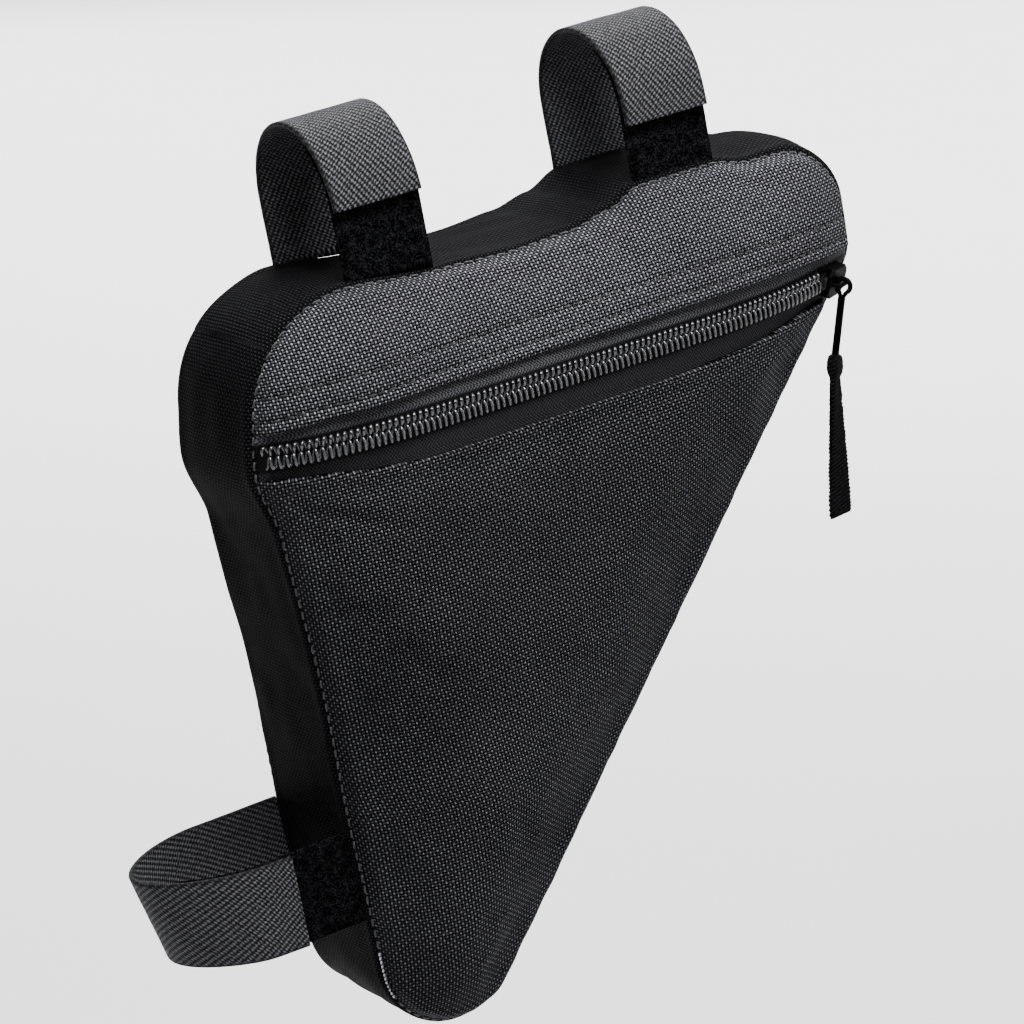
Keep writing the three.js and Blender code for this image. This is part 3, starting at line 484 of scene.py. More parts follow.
class Skin:
    """The outside of a piece of cloth, for the threads that lie on it."""

    def __init__(self, piece):
        points = [vertex.co.copy() for vertex in piece.data.vertices]
        faces = [tuple(face.vertices) for face in piece.data.polygons]
        self.tree = BVHTree.FromPolygons(points, faces)

    def point(self, x, z, side, under):
        """The skin's point over a flat point, in the pattern frame, sunk by a depth."""
        start = Vector(to_part(np.array([[x, side * 80.0, z]]))[0])
        place, normal, _, _ = self.tree.ray_cast(start, Vector((0, -side, 0)))
        return from_part(np.array(place - normal * under * MM))


def ring_faces(steps, sides, closed_ends=True):
    """Faces between the rings of a tube, and its two end caps."""
    faces = []
    for r in range(steps):
        for i in range(sides):
            j = (i + 1) % sides
            faces.append((r * sides + i, r * sides + j, (r + 1) * sides + j, (r + 1) * sides + i))
    if closed_ends:
        faces.append(tuple(range(sides))[::-1])
        faces.append(tuple(steps * sides + i for i in range(sides)))
    return faces


def tube(path, radius, sides, closed_ends=True):
    """Points, faces and uvs of a round tube along a path, in the path's own units."""
    path = np.asarray(path, float)
    along = np.gradient(path, axis=0)
    along /= np.linalg.norm(along, axis=1, keepdims=True)
    side = np.cross(along, [0.31, 0.17, 0.93])
    side /= np.linalg.norm(side, axis=1, keepdims=True)
    other = np.cross(along, side)
    turns = np.arange(sides) / sides * 2 * math.pi
    radii = np.broadcast_to(np.asarray(radius, float), (len(path),))[:, None, None]
    ring = side[:, None] * np.cos(turns)[:, None] + other[:, None] * np.sin(turns)[:, None]
    points = path[:, None] + ring * radii
    faces = ring_faces(len(path) - 1, sides, closed_ends)
    reached = np.concatenate([[0], np.cumsum(np.linalg.norm(np.diff(path, axis=0), axis=1))])
    girth = turns * float(np.max(radii))
    uvs = np.stack(np.broadcast_arrays(reached[:, None], girth[None]), -1)
    return points.reshape(-1, 3), faces, uvs.reshape(-1, 2)


def joined(name, bits, material):
    """One piece from several (points, faces, uvs), in the pattern frame."""
    points, faces, uvs, start = [], [], [], 0
    for bit_points, bit_faces, bit_uvs in bits:
        points.append(bit_points)
        uvs.append(bit_uvs)
        faces.extend(tuple(start + i for i in face) for face in bit_faces)
        start += len(bit_points)
    return mesh_piece(name, to_part(np.concatenate(points)), faces, np.concatenate(uvs), material)


# Smooth repeatable noise for creases and puckers
def wave_noise(x, z, scale, seed, octaves=3):
    draw = np.random.default_rng(seed)
    total = np.zeros(np.broadcast(x, z).shape)
    weight = 1.0
    for octave in range(octaves):
        for _ in range(5):
            turn = draw.uniform(0, 2 * math.pi)
            rate = 2 * math.pi / scale * draw.uniform(0.7, 1.4) * 1.9**octave
            phase = draw.uniform(0, 2 * math.pi)
            total += weight / 5 * np.sin((x * math.cos(turn) + z * math.sin(turn)) * rate + phase)
        weight *= 0.5
    return total


# Panels
def spaced(count, cluster=0.6):
    even = np.arange(count + 1) / count
    return even * (1 - cluster) + (0.5 - 0.5 * np.cos(math.pi * even)) * cluster


def coons(bottom, top, left, right, columns, rows):
    """Four-sided patch of flat points between border curves of a share from 0 to 1."""
    u = spaced(columns)[None, :, None]
    v = spaced(rows)[:, None, None]
    low, high = bottom(spaced(columns))[None], top(spaced(columns))[None]
    near, far = left(spaced(rows))[:, None], right(spaced(rows))[:, None]
    corners = (
        low[:, :1] * (1 - u) * (1 - v) + low[:, -1:] * u * (1 - v)
        + high[:, :1] * (1 - u) * v + high[:, -1:] * u * v
    )
    return low * (1 - v) + high * v + near * (1 - u) + far * u - corners


def along_outline(start, end):
    return lambda share: outline_at(start + (end - start) * share)


TOP_END_MIDDLE = round_at_height(-TOP_END_RADIUS * 0.3, False)
POINT_END_SIDE = round_at_height(-POINT_DROP + POINT_RADIUS * 1.75, False)
POINT_SEAT_SIDE = round_at_height(-POINT_DROP + POINT_RADIUS * 2, True)


def fold_ends(fold):
    return round_at_height(fold[0][1], True), round_at_height(fold[-1][1], False)


def along_fold(fold):
    seat, far = fold_ends(fold)
    start, end = outline_at(seat)[0], outline_at(far)[0]

    def border(share):
        x = start + (end - start) * np.asarray(share)
        return np.stack([x, table_value(fold, x)], -1)
    return border


def upper_patch(columns, rows):
    seat, far = fold_ends(UPPER_FOLD)
    return coons(
        along_fold(UPPER_FOLD), along_outline(0, TOP_END_MIDDLE),
        along_outline(seat, 1), along_outline(far, TOP_END_MIDDLE), columns, rows,
    )


def lower_patch(columns, rows):
    seat, far = fold_ends(LOWER_FOLD)
    return coons(
        along_outline(POINT_SEAT_SIDE, POINT_END_SIDE), along_fold(LOWER_FOLD),
        along_outline(POINT_SEAT_SIDE, seat), along_outline(POINT_END_SIDE, far), columns, rows,
    )


def back_patch(columns, rows):
    return coons(
        along_outline(POINT_SEAT_SIDE, POINT_END_SIDE), along_outline(0, TOP_END_MIDDLE),
        along_outline(POINT_SEAT_SIDE, 1), along_outline(POINT_END_SIDE, TOP_END_MIDDLE), columns, rows,
    )


def face_points(flat, side):
    """The bare form over flat points, with each point's distance from the rim and place along it."""
    smooth, exact, share = in_chunks(both_distances, flat)
    height = np.where(np.abs(exact) < 1e-3, 0, swell_at(flat, side, smooth))
    return np.stack([flat[..., 0], side * (SEAM_PLANE + height), flat[..., 1]], -1), exact, share


def seam_relief(distance, ridge_at, ridge_width):
    """Height of the ridge and the groove that a seam leaves in the cloth beside it."""
    ridge = SEAM_RIDGE * bell(distance, ridge_at, ridge_width)
    return ridge - SEAM_DEPTH * bell(distance, 0, SEAM_WIDTH)


def seam_shift(distance, share, side):
    """Pulls a cloth's edge into the seam's groove, with a low ridge beside it."""
    normal = outline_normal(share)
    out = np.full_like(share, 0.8 * side)
    corner = np.stack([normal[..., 0] * 0.6, out, normal[..., 1] * 0.6], -1)
    return corner * seam_relief(distance, 3.4, 1.6)[..., None]


def resampled(grid, rows, columns):
    """Cubic resampling of a grid of values at evenly numbered places."""
    for axis, count in ((0, rows), (1, columns)):
        place = np.linspace(0, grid.shape[axis] - 1, count)
        low = np.clip(np.floor(place).astype(int), 0, grid.shape[axis] - 2)
        part = (place - low).reshape([-1 if k == axis else 1 for k in range(3)])
        at = [np.take(grid, np.clip(low + k, 0, grid.shape[axis] - 1), axis) for k in (-1, 0, 1, 2)]
        grid = at[1] + 0.5 * part * (at[2] - at[0] + part * (
            2 * at[0] - 5 * at[1] + 4 * at[2] - at[3] + part * (3 * (at[1] - at[2]) + at[3] - at[0])))
    return grid


def simulated_swell(name, points):
    """How far cloth with air behind it and pinned edges moves from the given grid."""
    rows, columns = points.shape[:2]
    start = to_part(points).reshape(-1, 3)
    faces = shell_faces(rows, columns, False)[: (rows - 1) * (columns - 1)]
    mesh = bpy.data.meshes.new(name)
    mesh.from_pydata([tuple(p) for p in start], [], faces.tolist())
    sheet = placed(name, mesh)
    pins = sheet.vertex_groups.new(name="pins")
    index = np.arange(rows * columns).reshape(rows, columns)
    rim = np.concatenate([index[0], index[-1], index[1:-1, 0], index[1:-1, -1]])
    pins.add([int(i) for i in rim], 1.0, "REPLACE")
    cloth = sheet.modifiers.new("cloth", "CLOTH")
    settings = cloth.settings
    settings.vertex_group_mass = "pins"
    settings.quality = SIM_QUALITY
    settings.tension_stiffness = SIM_STIFFNESS
    settings.compression_stiffness = SIM_STIFFNESS
    settings.bending_stiffness = SIM_BENDING
    settings.shrink_min = -SIM_GROWTH
    settings.use_pressure = True
    settings.uniform_pressure_force = -SIM_PRESSURE if points[0, 0, 1] > 0 else SIM_PRESSURE
    settings.effector_weights.gravity = 0
    cloth.collision_settings.use_self_collision = False
    scene = bpy.context.scene
    scene.frame_start, scene.frame_end = 1, SIM_FRAMES
    for number in range(1, SIM_FRAMES + 1):
        scene.frame_set(number)
    seen = sheet.evaluated_get(bpy.context.evaluated_depsgraph_get())
    moved = np.zeros(len(start) * 3)
    seen.data.vertices.foreach_get("co", moved)
    moved = (moved.reshape(-1, 3) - start) / MM
    scene.frame_set(1)
    bpy.data.objects.remove(sheet)
    length = np.linalg.norm(moved, axis=1, keepdims=True)
    moved *= np.minimum(length, SIM_CAP) / np.maximum(length, 1e-9)
    return turned(moved, -TUBE_SLOPE).reshape(points.shape)


def cloth_panel(name, patch, coarse, fine, side, fold, stitches, material, seed):
    """A stuffed panel: true form, simulated swell, seams, folded hem, stitch rows and creases."""
    rough = face_points(patch(*coarse), side)[0]
    moved = simulated_swell(name + "_sim", rough)
    flat = patch(*fine)
    points, distance, share = face_points(flat, side)
    loose = smoothstep(distance, 0, 9)
    if fold:
        loose = loose * smoothstep(np.abs(flat[..., 1] - table_value(fold, flat[..., 0])), 0.5, 10)
    points = points + resampled(moved, fine[1] + 1, fine[0] + 1) * loose[..., None]
    normal = grid_normals(points)
    if normal[len(normal) // 2, len(normal[0]) // 2, 1] * side < 0:
        normal = -normal
    x, z = flat[..., 0], flat[..., 1]
    inside = np.clip(distance / 10, 0, 1)
    creases = wave_noise(x, z, CREASE_WIDTH, seed) * CREASE_DEPTH * inside
    puckers = np.sin(share * len(OUTLINE) * 2 * math.pi / PUCKER_PITCH + 2 * np.sin(share * 37))
    creases += puckers * PUCKER_DEPTH * np.exp(-distance / 5) * np.clip(distance / 2, 0, 1)
    if fold:
        from_fold = np.abs(z - table_value(fold, x))
        hem = np.clip((FOLD_ROUND - from_fold) / FOLD_ROUND, 0, 1)
        creases -= FOLD_ROUND * (1 - np.sqrt(1 - hem**2))
        creases += HEM_RIDGE * bell(from_fold, 1.6, 1.2)
        for row in stitches:
            beat = 0.75 + 0.25 * np.cos(2 * math.pi * x / STITCH_PITCH)
            creases -= STITCH_SINK * beat * bell(from_fold, row, 0.75)
    outer = points + normal * creases[..., None] + seam_shift(distance, share, side)
    inner = outer - normal * CLOTH
    uv = np.stack([SHEET.read(lengths, flat) for lengths in cloth_lengths(side)], -1)
    return shell(name, outer, inner, uv, material)


# Materials
class Nodes:
    """Short calls that add shader nodes to one material."""

    def __init__(self, name):
        self.material = bpy.data.materials.new(name)
        self.material.use_nodes = True
        self.tree = self.material.node_tree
        self.shader = self.tree.nodes["Principled BSDF"]

    def add(self, kind, **values):
        node = self.tree.nodes.new(kind)
        for key, value in values.items():
            setattr(node, key, value)
        return node

    def link(self, source, target):
        self.tree.links.new(source, target)

    def feed(self, node, index, value):
        if isinstance(value, (int, float, tuple)):
            node.inputs[index].default_value = value
        else:
            self.link(value, node.inputs[index])

    def math(self, operation, a, b=0.0, c=None):
        node = self.add("ShaderNodeMath", operation=operation)
        self.feed(node, 0, a)
        self.feed(node, 1, b)
        if c is not None:
            self.feed(node, 2, c)
        return node.outputs[0]

    def cloth_place(self):
        """The u and v of the cloth, in millimetres."""
        place = self.add("ShaderNodeUVMap", uv_map="cloth")
        parts = self.add("ShaderNodeSeparateXYZ")
        self.link(place.outputs[0], parts.inputs[0])
        return parts.outputs[0], parts.outputs[1], place.outputs[0]

    def noise(self, scale, detail, vector=None, roughness=0.55):
        node = self.add("ShaderNodeTexNoise")
        node.inputs["Scale"].default_value = scale
        node.inputs["Detail"].default_value = detail
        node.inputs["Roughness"].default_value = roughness
        if vector is None:
            vector = self.add("ShaderNodeTexCoord").outputs["Object"]
        self.link(vector, node.inputs["Vector"])
        return node.outputs[0]

    def ramp(self, value, low, high):
        """Black up to one value, white from another."""
        node = self.add("ShaderNodeValToRGB")
        self.link(value, node.inputs[0])
        first, last = node.color_ramp.elements
        first.position, last.position = low, high
        first.color, last.color = (0, 0, 0, 1), (1, 1, 1, 1)
        return node.outputs[0]

    def mix(self, share, a, b):
        node = self.add("ShaderNodeMix", data_type="RGBA")
        self.feed(node, 0, share)
        for socket, value in ((node.inputs[6], a), (node.inputs[7], b)):
            if isinstance(value, tuple):
                socket.default_value = (*value, 1)
            else:
                self.link(value, socket)
        return node.outputs[2]

    def bump(self, height, strength, distance):
        node = self.add("ShaderNodeBump")
        node.inputs["Strength"].default_value = strength
        node.inputs["Distance"].default_value = distance
        self.link(height, node.inputs["Height"])
        return node.outputs[0]

    def finish(self, colour, roughness, normal=None, sheen=0.0, specular=0.5):
        self.feed(self.shader, "Base Color", colour)
        self.feed(self.shader, "Roughness", roughness)
        self.shader.inputs["Sheen Weight"].default_value = sheen
        self.shader.inputs["Sheen Roughness"].default_value = 0.4
        self.shader.inputs["Specular IOR Level"].default_value = specular
        if normal is not None:
            self.link(normal, self.shader.inputs["Normal"])
        return self.material


def grey(value):
    return tuple(value * tint for tint in BLACK_TINT)


def weave_height(n, u, v, pitch_u, pitch_v):
    """Plain weave: height of the upper thread at each crossing, and where it is the warp."""
    a = n.math("COSINE", n.math("MULTIPLY", u, math.pi / pitch_u))
    b = n.math("COSINE", n.math("MULTIPLY", v, math.pi / pitch_v))
    crossing = n.math("MULTIPLY", a, b)
    warp = n.math("ADD", n.math("ABSOLUTE", a), crossing)
    weft = n.math("SUBTRACT", n.math("ABSOLUTE", b), crossing)
    height = n.math("MULTIPLY", n.math("MAXIMUM", warp, weft), 0.5)
    return height, n.math("MULTIPLY_ADD", crossing, 0.5, 0.5)


def slanted_dots(n, u, v, waves):
    """Dots where two slanted waves meet; each wave is its turns per millimetre along u and v."""
    total = None
    for along, across in waves:
        sideways = n.math("MULTIPLY", v, 2 * math.pi * across)
        phase = n.math("MULTIPLY_ADD", u, 2 * math.pi * along, sideways)
        wave = n.math("MULTIPLY_ADD", n.math("COSINE", phase), 0.25, 0.25)
        total = wave if total is None else n.math("ADD", total, wave)
    return total


def coarse_weave(name, dark, light, wear, rough=0.6):
    """Coated polyester with a raised plain weave, thread by thread."""
    n = Nodes(name)
    u, v, place = n.cloth_place()
    shifted = n.math("ADD", n.noise(40, 2), u)
    height, warp = weave_height(n, shifted, v, WEAVE_ALONG, WEAVE_ROWS)
    threads = n.noise(1.1, 4, place, 0.65)
    raised = n.math("MULTIPLY_ADD", n.math("SUBTRACT", threads, 0.5), 0.9, height)
    dots = n.ramp(raised, 0.46, 1.0)
    dots = n.math("MULTIPLY", dots, n.math("MULTIPLY_ADD", warp, 0.85, 0.15))
    worn = n.ramp(n.noise(24, 4), 0.35, 0.72)
    crowns = n.mix(n.math("MULTIPLY", worn, 0.6), light, wear)
    tone = n.mix(dots, dark, crowns)
    tall = n.math("MULTIPLY_ADD", n.noise(2500, 2), 0.12, height)
    normal = n.bump(tall, 0.6, 0.0008)
    roughness = n.math("MULTIPLY_ADD", dots, -0.15, rough)
    return n.finish(tone, roughness, normal, specular=0.015)


def herringbone(name, dark, light):
    """Fine woven zip tape with slanted ribs, in painted shade where the coil covers it."""
    n = Nodes(name)
    u, v, place = n.cloth_place()
    slant = n.math("PINGPONG", v, 2.4)
    rib = n.math("SINE", n.math("MULTIPLY", n.math("ADD", u, slant), 2 * math.pi / 0.95))
    cross = n.math("SINE", n.math("MULTIPLY", v, 2 * math.pi / 0.55))
    height = n.math("MULTIPLY_ADD", n.math("MULTIPLY", rib, cross), 0.35, 0.5)
    height = n.math("MULTIPLY_ADD", rib, 0.3, height)
    uneven = n.math("MULTIPLY_ADD", n.noise(1.6, 3, place), 0.6, n.math("ADD", height, -0.3))
    ribs = n.ramp(uneven, 0.25, 0.95)
    # Painted shade: the tape darkens under and beside the coil
    from_middle = n.math("DIVIDE", n.math("ABSOLUTE", v), TAPE_CLEAR)
    clear = n.ramp(from_middle, 0.82, 1.0)
    tone = n.mix(n.math("MULTIPLY", ribs, clear), dark, light)
    normal = n.bump(height, 0.4, 0.0004)
    return n.finish(tone, 0.7, normal, specular=0.06)


def velvet(name, dark, light):
    """Pile of the loop tape: dark, with painted highlights where tiny loops would catch light."""
    n = Nodes(name)
    place = n.cloth_place()[2]
    loops = n.noise(1.7, 3, place, 0.8)
    clumps = n.noise(0.4, 3, place)
    fuzz = n.math("MULTIPLY_ADD", clumps, 0.3, n.math("MULTIPLY", loops, 0.8))
    # Painted highlights: lighter specks on the dark pile
    tone = n.mix(n.ramp(fuzz, 0.52, 0.74), dark, light)
    normal = n.bump(fuzz, 1.0, 0.0012)
    return n.finish(tone, 0.95, normal, specular=0.0)


def dotted_tape(name, dark, light):
    """Back of the hook tape: slanted rows of uneven dots, and narrow bound edges."""
    n = Nodes(name)
    u, v, place = n.cloth_place()
    wander = n.noise(0.7, 2, place)
    along = n.math("MULTIPLY_ADD", wander, 0.7, u)
    across = n.math("MULTIPLY_ADD", wander, -0.5, v)
    dotted = slanted_dots(n, along, across, HOOK_DOTS)
    mottled = n.noise(1.4, 4, place, 0.65)
    height = n.math("MULTIPLY_ADD", n.math("SUBTRACT", mottled, 0.5), 1.2, dotted)
    edge = n.math("DIVIDE", n.math("ABSOLUTE", v), STRAP_WIDTH / 2)
    selvedge = n.ramp(edge, 0.9, 0.97)
    dots = n.ramp(height, 0.42, 0.95)
    shade = n.math("MULTIPLY", dots, n.math("MULTIPLY_ADD", selvedge, -0.8, 1.0))
    tone = n.mix(shade, dark, light)
    flat = n.math("MULTIPLY_ADD", selvedge, -0.75, 1.0)
    normal = n.bump(n.math("MULTIPLY", height, flat), 0.7, 0.0008)
    return n.finish(tone, 0.62, normal, specular=0.1)


def ribbed_webbing(name, dark, light):
    """The tab's webbing: slanted ribs with light specks of thread."""
    n = Nodes(name)
    u, v, place = n.cloth_place()
    slant = n.math("MULTIPLY_ADD", v, 0.6, u)
    rib = n.math("SINE", n.math("MULTIPLY", slant, 2 * math.pi / TAB_RIB))
    mottled = n.noise(1.5, 4, place, 0.7)
    height = n.math("MULTIPLY_ADD", mottled, 1.1, n.math("MULTIPLY_ADD", rib, 0.16, -0.1))
    tone = n.mix(n.ramp(height, 0.4, 0.75), dark, light)
    normal = n.bump(height, 0.8, 0.0008)
    return n.finish(tone, 0.7, normal, specular=0.03)


def nylon(name, colour, rough):
    n = Nodes(name)
    wear = n.noise(900, 3)
    bright = tuple(c * 1.7 for c in colour)
    tone = n.mix(n.ramp(wear, 0.4, 0.8), colour, bright)
    roughness = n.math("MULTIPLY_ADD", wear, 0.25, rough)
    return n.finish(tone, roughness, n.bump(wear, 0.1, 0.0001), specular=1.0)


def enamel(name, colour, worn_and_glint_colour):
    """Black enamelled metal, lighter on a few sharp edges: partly edge wear, partly painted glints."""
    n = Nodes(name)
    geometry = n.add("ShaderNodeNewGeometry")
    scuffs = n.noise(500, 4)
    sharp = n.math("MULTIPLY_ADD", scuffs, 0.12, geometry.outputs["Pointiness"])
    # Sharp edges lighter: edge wear and painted glints
    worn_and_glint_edges = n.ramp(sharp, 0.72, 0.78)
    tone = n.mix(n.math("MULTIPLY", worn_and_glint_edges, 0.5), colour, worn_and_glint_colour)
    roughness = n.math("MULTIPLY_ADD", scuffs, 0.3, 0.28)
    normal = n.bump(scuffs, 0.08, 0.0002)
    return n.finish(tone, roughness, normal, specular=0.02)


def thread(name, colour):
    n = Nodes(name)
    u, v, _ = n.cloth_place()
    twist = n.math("SINE", n.math("MULTIPLY", n.math("ADD", u, v), 2 * math.pi / 0.3))
    tone = n.mix(n.math("MULTIPLY_ADD", twist, 0.3, 0.5), tuple(c * 0.5 for c in colour), colour)
    return n.finish(tone, 0.6, n.bump(twist, 0.4, 0.0001), sheen=0.1)


PANEL_CLOTH = coarse_weave("panel_cloth", grey(0.0001), grey(0.13), grey(0.05))
# Painted light: the panels' cloth made lighter for the upper front panel, which faces up into the key
# lamp
LIT_UPPER_PANEL_WEAVE = coarse_weave("lit_upper_panel_weave", grey(0.0015), grey(0.26), grey(0.15))
# Painted shade: the panels' weave made darker for the gusset, to darken its sides that face away from
# the lamps
SHADED_GUSSET_WEAVE = coarse_weave("gusset_cloth", grey(0.0003), grey(0.03), grey(0.013), rough=0.7)
# One tape in two copies: painted light makes the upper tape lighter, painted shade makes the lower tape
# darker
LIT_UPPER_ZIP_TAPE = herringbone("zip_tape_upper", grey(0.001), grey(0.07))
SHADED_LOWER_ZIP_TAPE = herringbone("zip_tape_lower", grey(0.001), grey(0.022))
COIL = nylon("coil_nylon", grey(0.016), 0.13)
VELVET = velvet("loop_velvet", grey(0.0004), grey(0.02))
HOOK_BACK = dotted_tape("hook_back", grey(0.001), grey(0.1))
WEBBING = ribbed_webbing("tab_webbing", grey(0.0003), grey(0.01))
METAL = enamel("black_enamel", grey(0.001), grey(0.02))
THREAD_DARK = thread("dark_thread", grey(0.03))
# Black thread, darker still: painted shade for the grooves the hem stitches sit in
GROOVE_SHADED_THREAD = thread("hem_thread", grey(0.002))
THREAD_PALE = thread("pale_thread", grey(0.6))


# The bag's cloth
def gusset_piece():
    around, across = 840, 36
    share = np.arange(around) / around
    place = np.linspace(-1, 1, across + 1)
    place = np.sign(place) * (1 - (1 - np.abs(place)) ** 1.35)
    edge, normal = outline_at(share), outline_normal(share)
    swell = GUSSET_SWELL * table_value(GUSSET_SWELL_ROUND, share)
    length = share * len(OUTLINE) * OUTLINE_STEP
    from_seam = SEAM_PLANE * (1 - np.abs(place))
    y = place[:, None] * SEAM_PLANE
    bend = wave_noise(length[None], y, GUSSET_BEND_WIDTH, 5) * GUSSET_BEND
    ripple = np.sin(length / 4.1 + 1.5 * np.sin(length / 17))[None]
    near_seam = GUSSET_RIPPLE * np.exp(-from_seam / 4) * np.clip(from_seam / 2, 0, 1)
    ripple = ripple * near_seam[:, None]
    inside = np.clip(from_seam / 6, 0, 1)[:, None]
    out = swell[None] * (1 - place[:, None] ** 2) + bend * inside + ripple

    def layer(inset):
        flat = edge[None] + normal[None] * (out - inset)[..., None]
        points = np.stack([flat[..., 0], np.broadcast_to(y, out.shape), flat[..., 1]], -1)
        side = np.sign(place + 1e-9)[:, None]
        aside = normal[None] * 0.6
        corner = np.stack(np.broadcast_arrays(aside[..., 0], side * 0.8, aside[..., 1]), -1)
        return points + corner * seam_relief(from_seam, 3.2, 1.5)[:, None, None]

    uv = np.stack(np.broadcast_arrays(length[None], y), -1)
    return shell("gusset_cloth_strip", layer(0), layer(CLOTH), uv, SHADED_GUSSET_WEAVE, closed=True)


def seam_stitches(name, side, pitch, material, start=0.0, end=1.0, lift=0.0):
    """Short threads at the bottom of the groove between a panel and the gusset."""
    count = int(len(OUTLINE) * (end - start) / pitch)
    bits = []
    for i in range(count):
        share = start + (end - start) * (i + 0.5) / count
        edge, normal = outline_at(share), outline_normal(share)
        along = np.array([normal[1], -normal[0]])
        path = []
        for step in np.linspace(-1, 1, 5):
            deep = SEAM_DEPTH * 0.98 - 0.25 * (1 - step * step) - lift
            flat = edge - normal * 0.6 * deep + along * step * pitch * 0.32
            y = side * (SEAM_PLANE - 0.8 * deep + 0.2 * step)
            path.append((flat[0], y, flat[1]))
        bits.append(tube(path, THREAD, sides=5))
    return joined(name, bits, material)


def hem_stitches(name, skin, rows, fold, material):
    """Rows of lock stitches beside a folded hem, each thread sunk at both its ends."""
    seat, far = fold_ends(fold)
    start, end = outline_at(seat)[0] + HEM_INSET, outline_at(far)[0] - HEM_INSET
    bits = []
    for row in rows:
        for number in range(math.ceil(start / STITCH_PITCH), math.floor(end / STITCH_PITCH)):
            path = []
            for step in np.linspace(-1, 1, 6):
                x = (number + 0.5 + step * 0.41) * STITCH_PITCH
                height = float(table_value(fold, x)) + row
                path.append(skin.point(x, height, -1, 0.5 * step**4 - 0.02))
            bits.append(tube(path, THREAD, sides=5))
    return joined(name, bits, material)


# The zip
def zip_run(inset, across=0.0):
    ends = []
    for seat_side, sign in ((True, 1), (False, -1)):
        share = round_at_height(-ZIP_DROP + across, seat_side)
        inward = sign * inset / abs(outline_normal(share)[0])
        ends.append(outline_at(share)[0] + inward)
    return ends


SLIDER_X = zip_run(6.0)[1]


def zip_point(x, across, under):
    flat = np.stack([np.asarray(x, float), -ZIP_DROP + np.asarray(across, float)], -1)
    return panel_point(flat, -1, under)[0]


def zip_tape(name, far, material):
    steps, rows = 240, 20
    near = math.copysign(0.01, far)
    share = spaced(steps, 0.75)
    acrosses = np.linspace(near, far, rows)
    runs = np.array([zip_run(TAPE_END_INSET, across) for across in acrosses])
    x = runs[:, :1] + (runs[:, 1:] - runs[:, :1]) * share
    across = np.broadcast_to(acrosses[:, None], x.shape)
    from_end = np.minimum(x - runs[:, :1], runs[:, 1:] - x)
    sag = wave_noise(x, across, 34, 9, 2) * 0.12 + 0.1 * bell(across, far * 0.6, 1.2)
    under = TAPE_UNDER - TAPE_RISE * bell(from_end, 0, 3.5) + sag
    outer, inner = zip_point(x, across, under), zip_point(x, across, under + TAPE_THICKNESS)
    return shell(name, outer, inner, np.stack([x, across], -1), material)


def blunted(wave, power):
    return np.sign(wave) * np.abs(wave) ** power


def zip_coil_half(name, sign, slant, head_drop, material):
    """One flattened helix: legs in front from its heads at the middle to its heels outside."""
    start, end = zip_run(COIL_INSET)[0], SLIDER_X - 2.4
    turns = int((end - start) / COIL_PITCH)
    t = np.arange(turns * COIL_STEPS + 1) / COIL_STEPS + (0.5 if sign < 0 else 0)
    reach = blunted(-np.cos(2 * math.pi * t), 0.6)
    front = blunted(np.sin(2 * math.pi * t), 0.8)
    part = t % 1
    ahead = np.where(part < 0.5, slant * part * 2, slant + (1 - slant) * (part * 2 - 1))
    x = start + COIL_PITCH * (np.floor(t) + ahead)
    heel, head = COIL_HALF - COIL_WIRE, sign * COIL_MIDDLE - COIL_MESH
    across = sign * ((heel + head) / 2 + (heel - head) / 2 * reach)
    sunk = 0.25 * bell(x, start, 1.0) + head_drop * np.clip(0.4 - reach, 0, 1.4) ** 1.5
    under = COIL_UNDER + 0.25 * (across / COIL_HALF) ** 2 - COIL_RISE * front + sunk
    path = zip_point(x, across, under)
    return joined(name, [tube(path, COIL_WIRE * (1 + 0.08 * reach), sides=8)], material)


# The straps
def loop_route(place, radius):
    place = np.asarray(place, float)
    angle = np.clip(place, 0, math.pi)
    side = -radius * np.cos(angle)
    rise = radius * np.sin(angle) + np.minimum(place, 0) + np.minimum(math.pi - place, 0)
    return side, rise


def spread_place(start, end, share):
    """Places along a route: the straight ends and the bend, by length."""
    before = min(start, 0.0)
    after = max(end - math.pi, 0.0)
    bend = (min(end, math.pi) - max(start, 0.0)) * TUBE_RADIUS
    total = -before + bend + after
    reached = share * total
    place = np.where(
        reached < -before,
        before + reached,
        max(start, 0.0) + (reached + before) / TUBE_RADIUS,
    )
    return np.where(reached > total - after, math.pi + reached - (total - after), place), total


def top_edge_height(x):
    near = OUTLINE[OUTLINE[:, 1] > -SEAT_CORNER_RADIUS / 2]
    order = np.argsort(near[:, 0])
    return np.interp(x, near[order, 0], near[order, 1])


def swell_on_top(x, y):
    shares = np.linspace(0, 0.3, 200)
    at = outline_at(shares)[:, 0]
    share = np.interp(x, at, shares)
    return GUSSET_SWELL * table_value(GUSSET_SWELL_ROUND, share) * (1 - (y / SEAM_PLANE) ** 2)


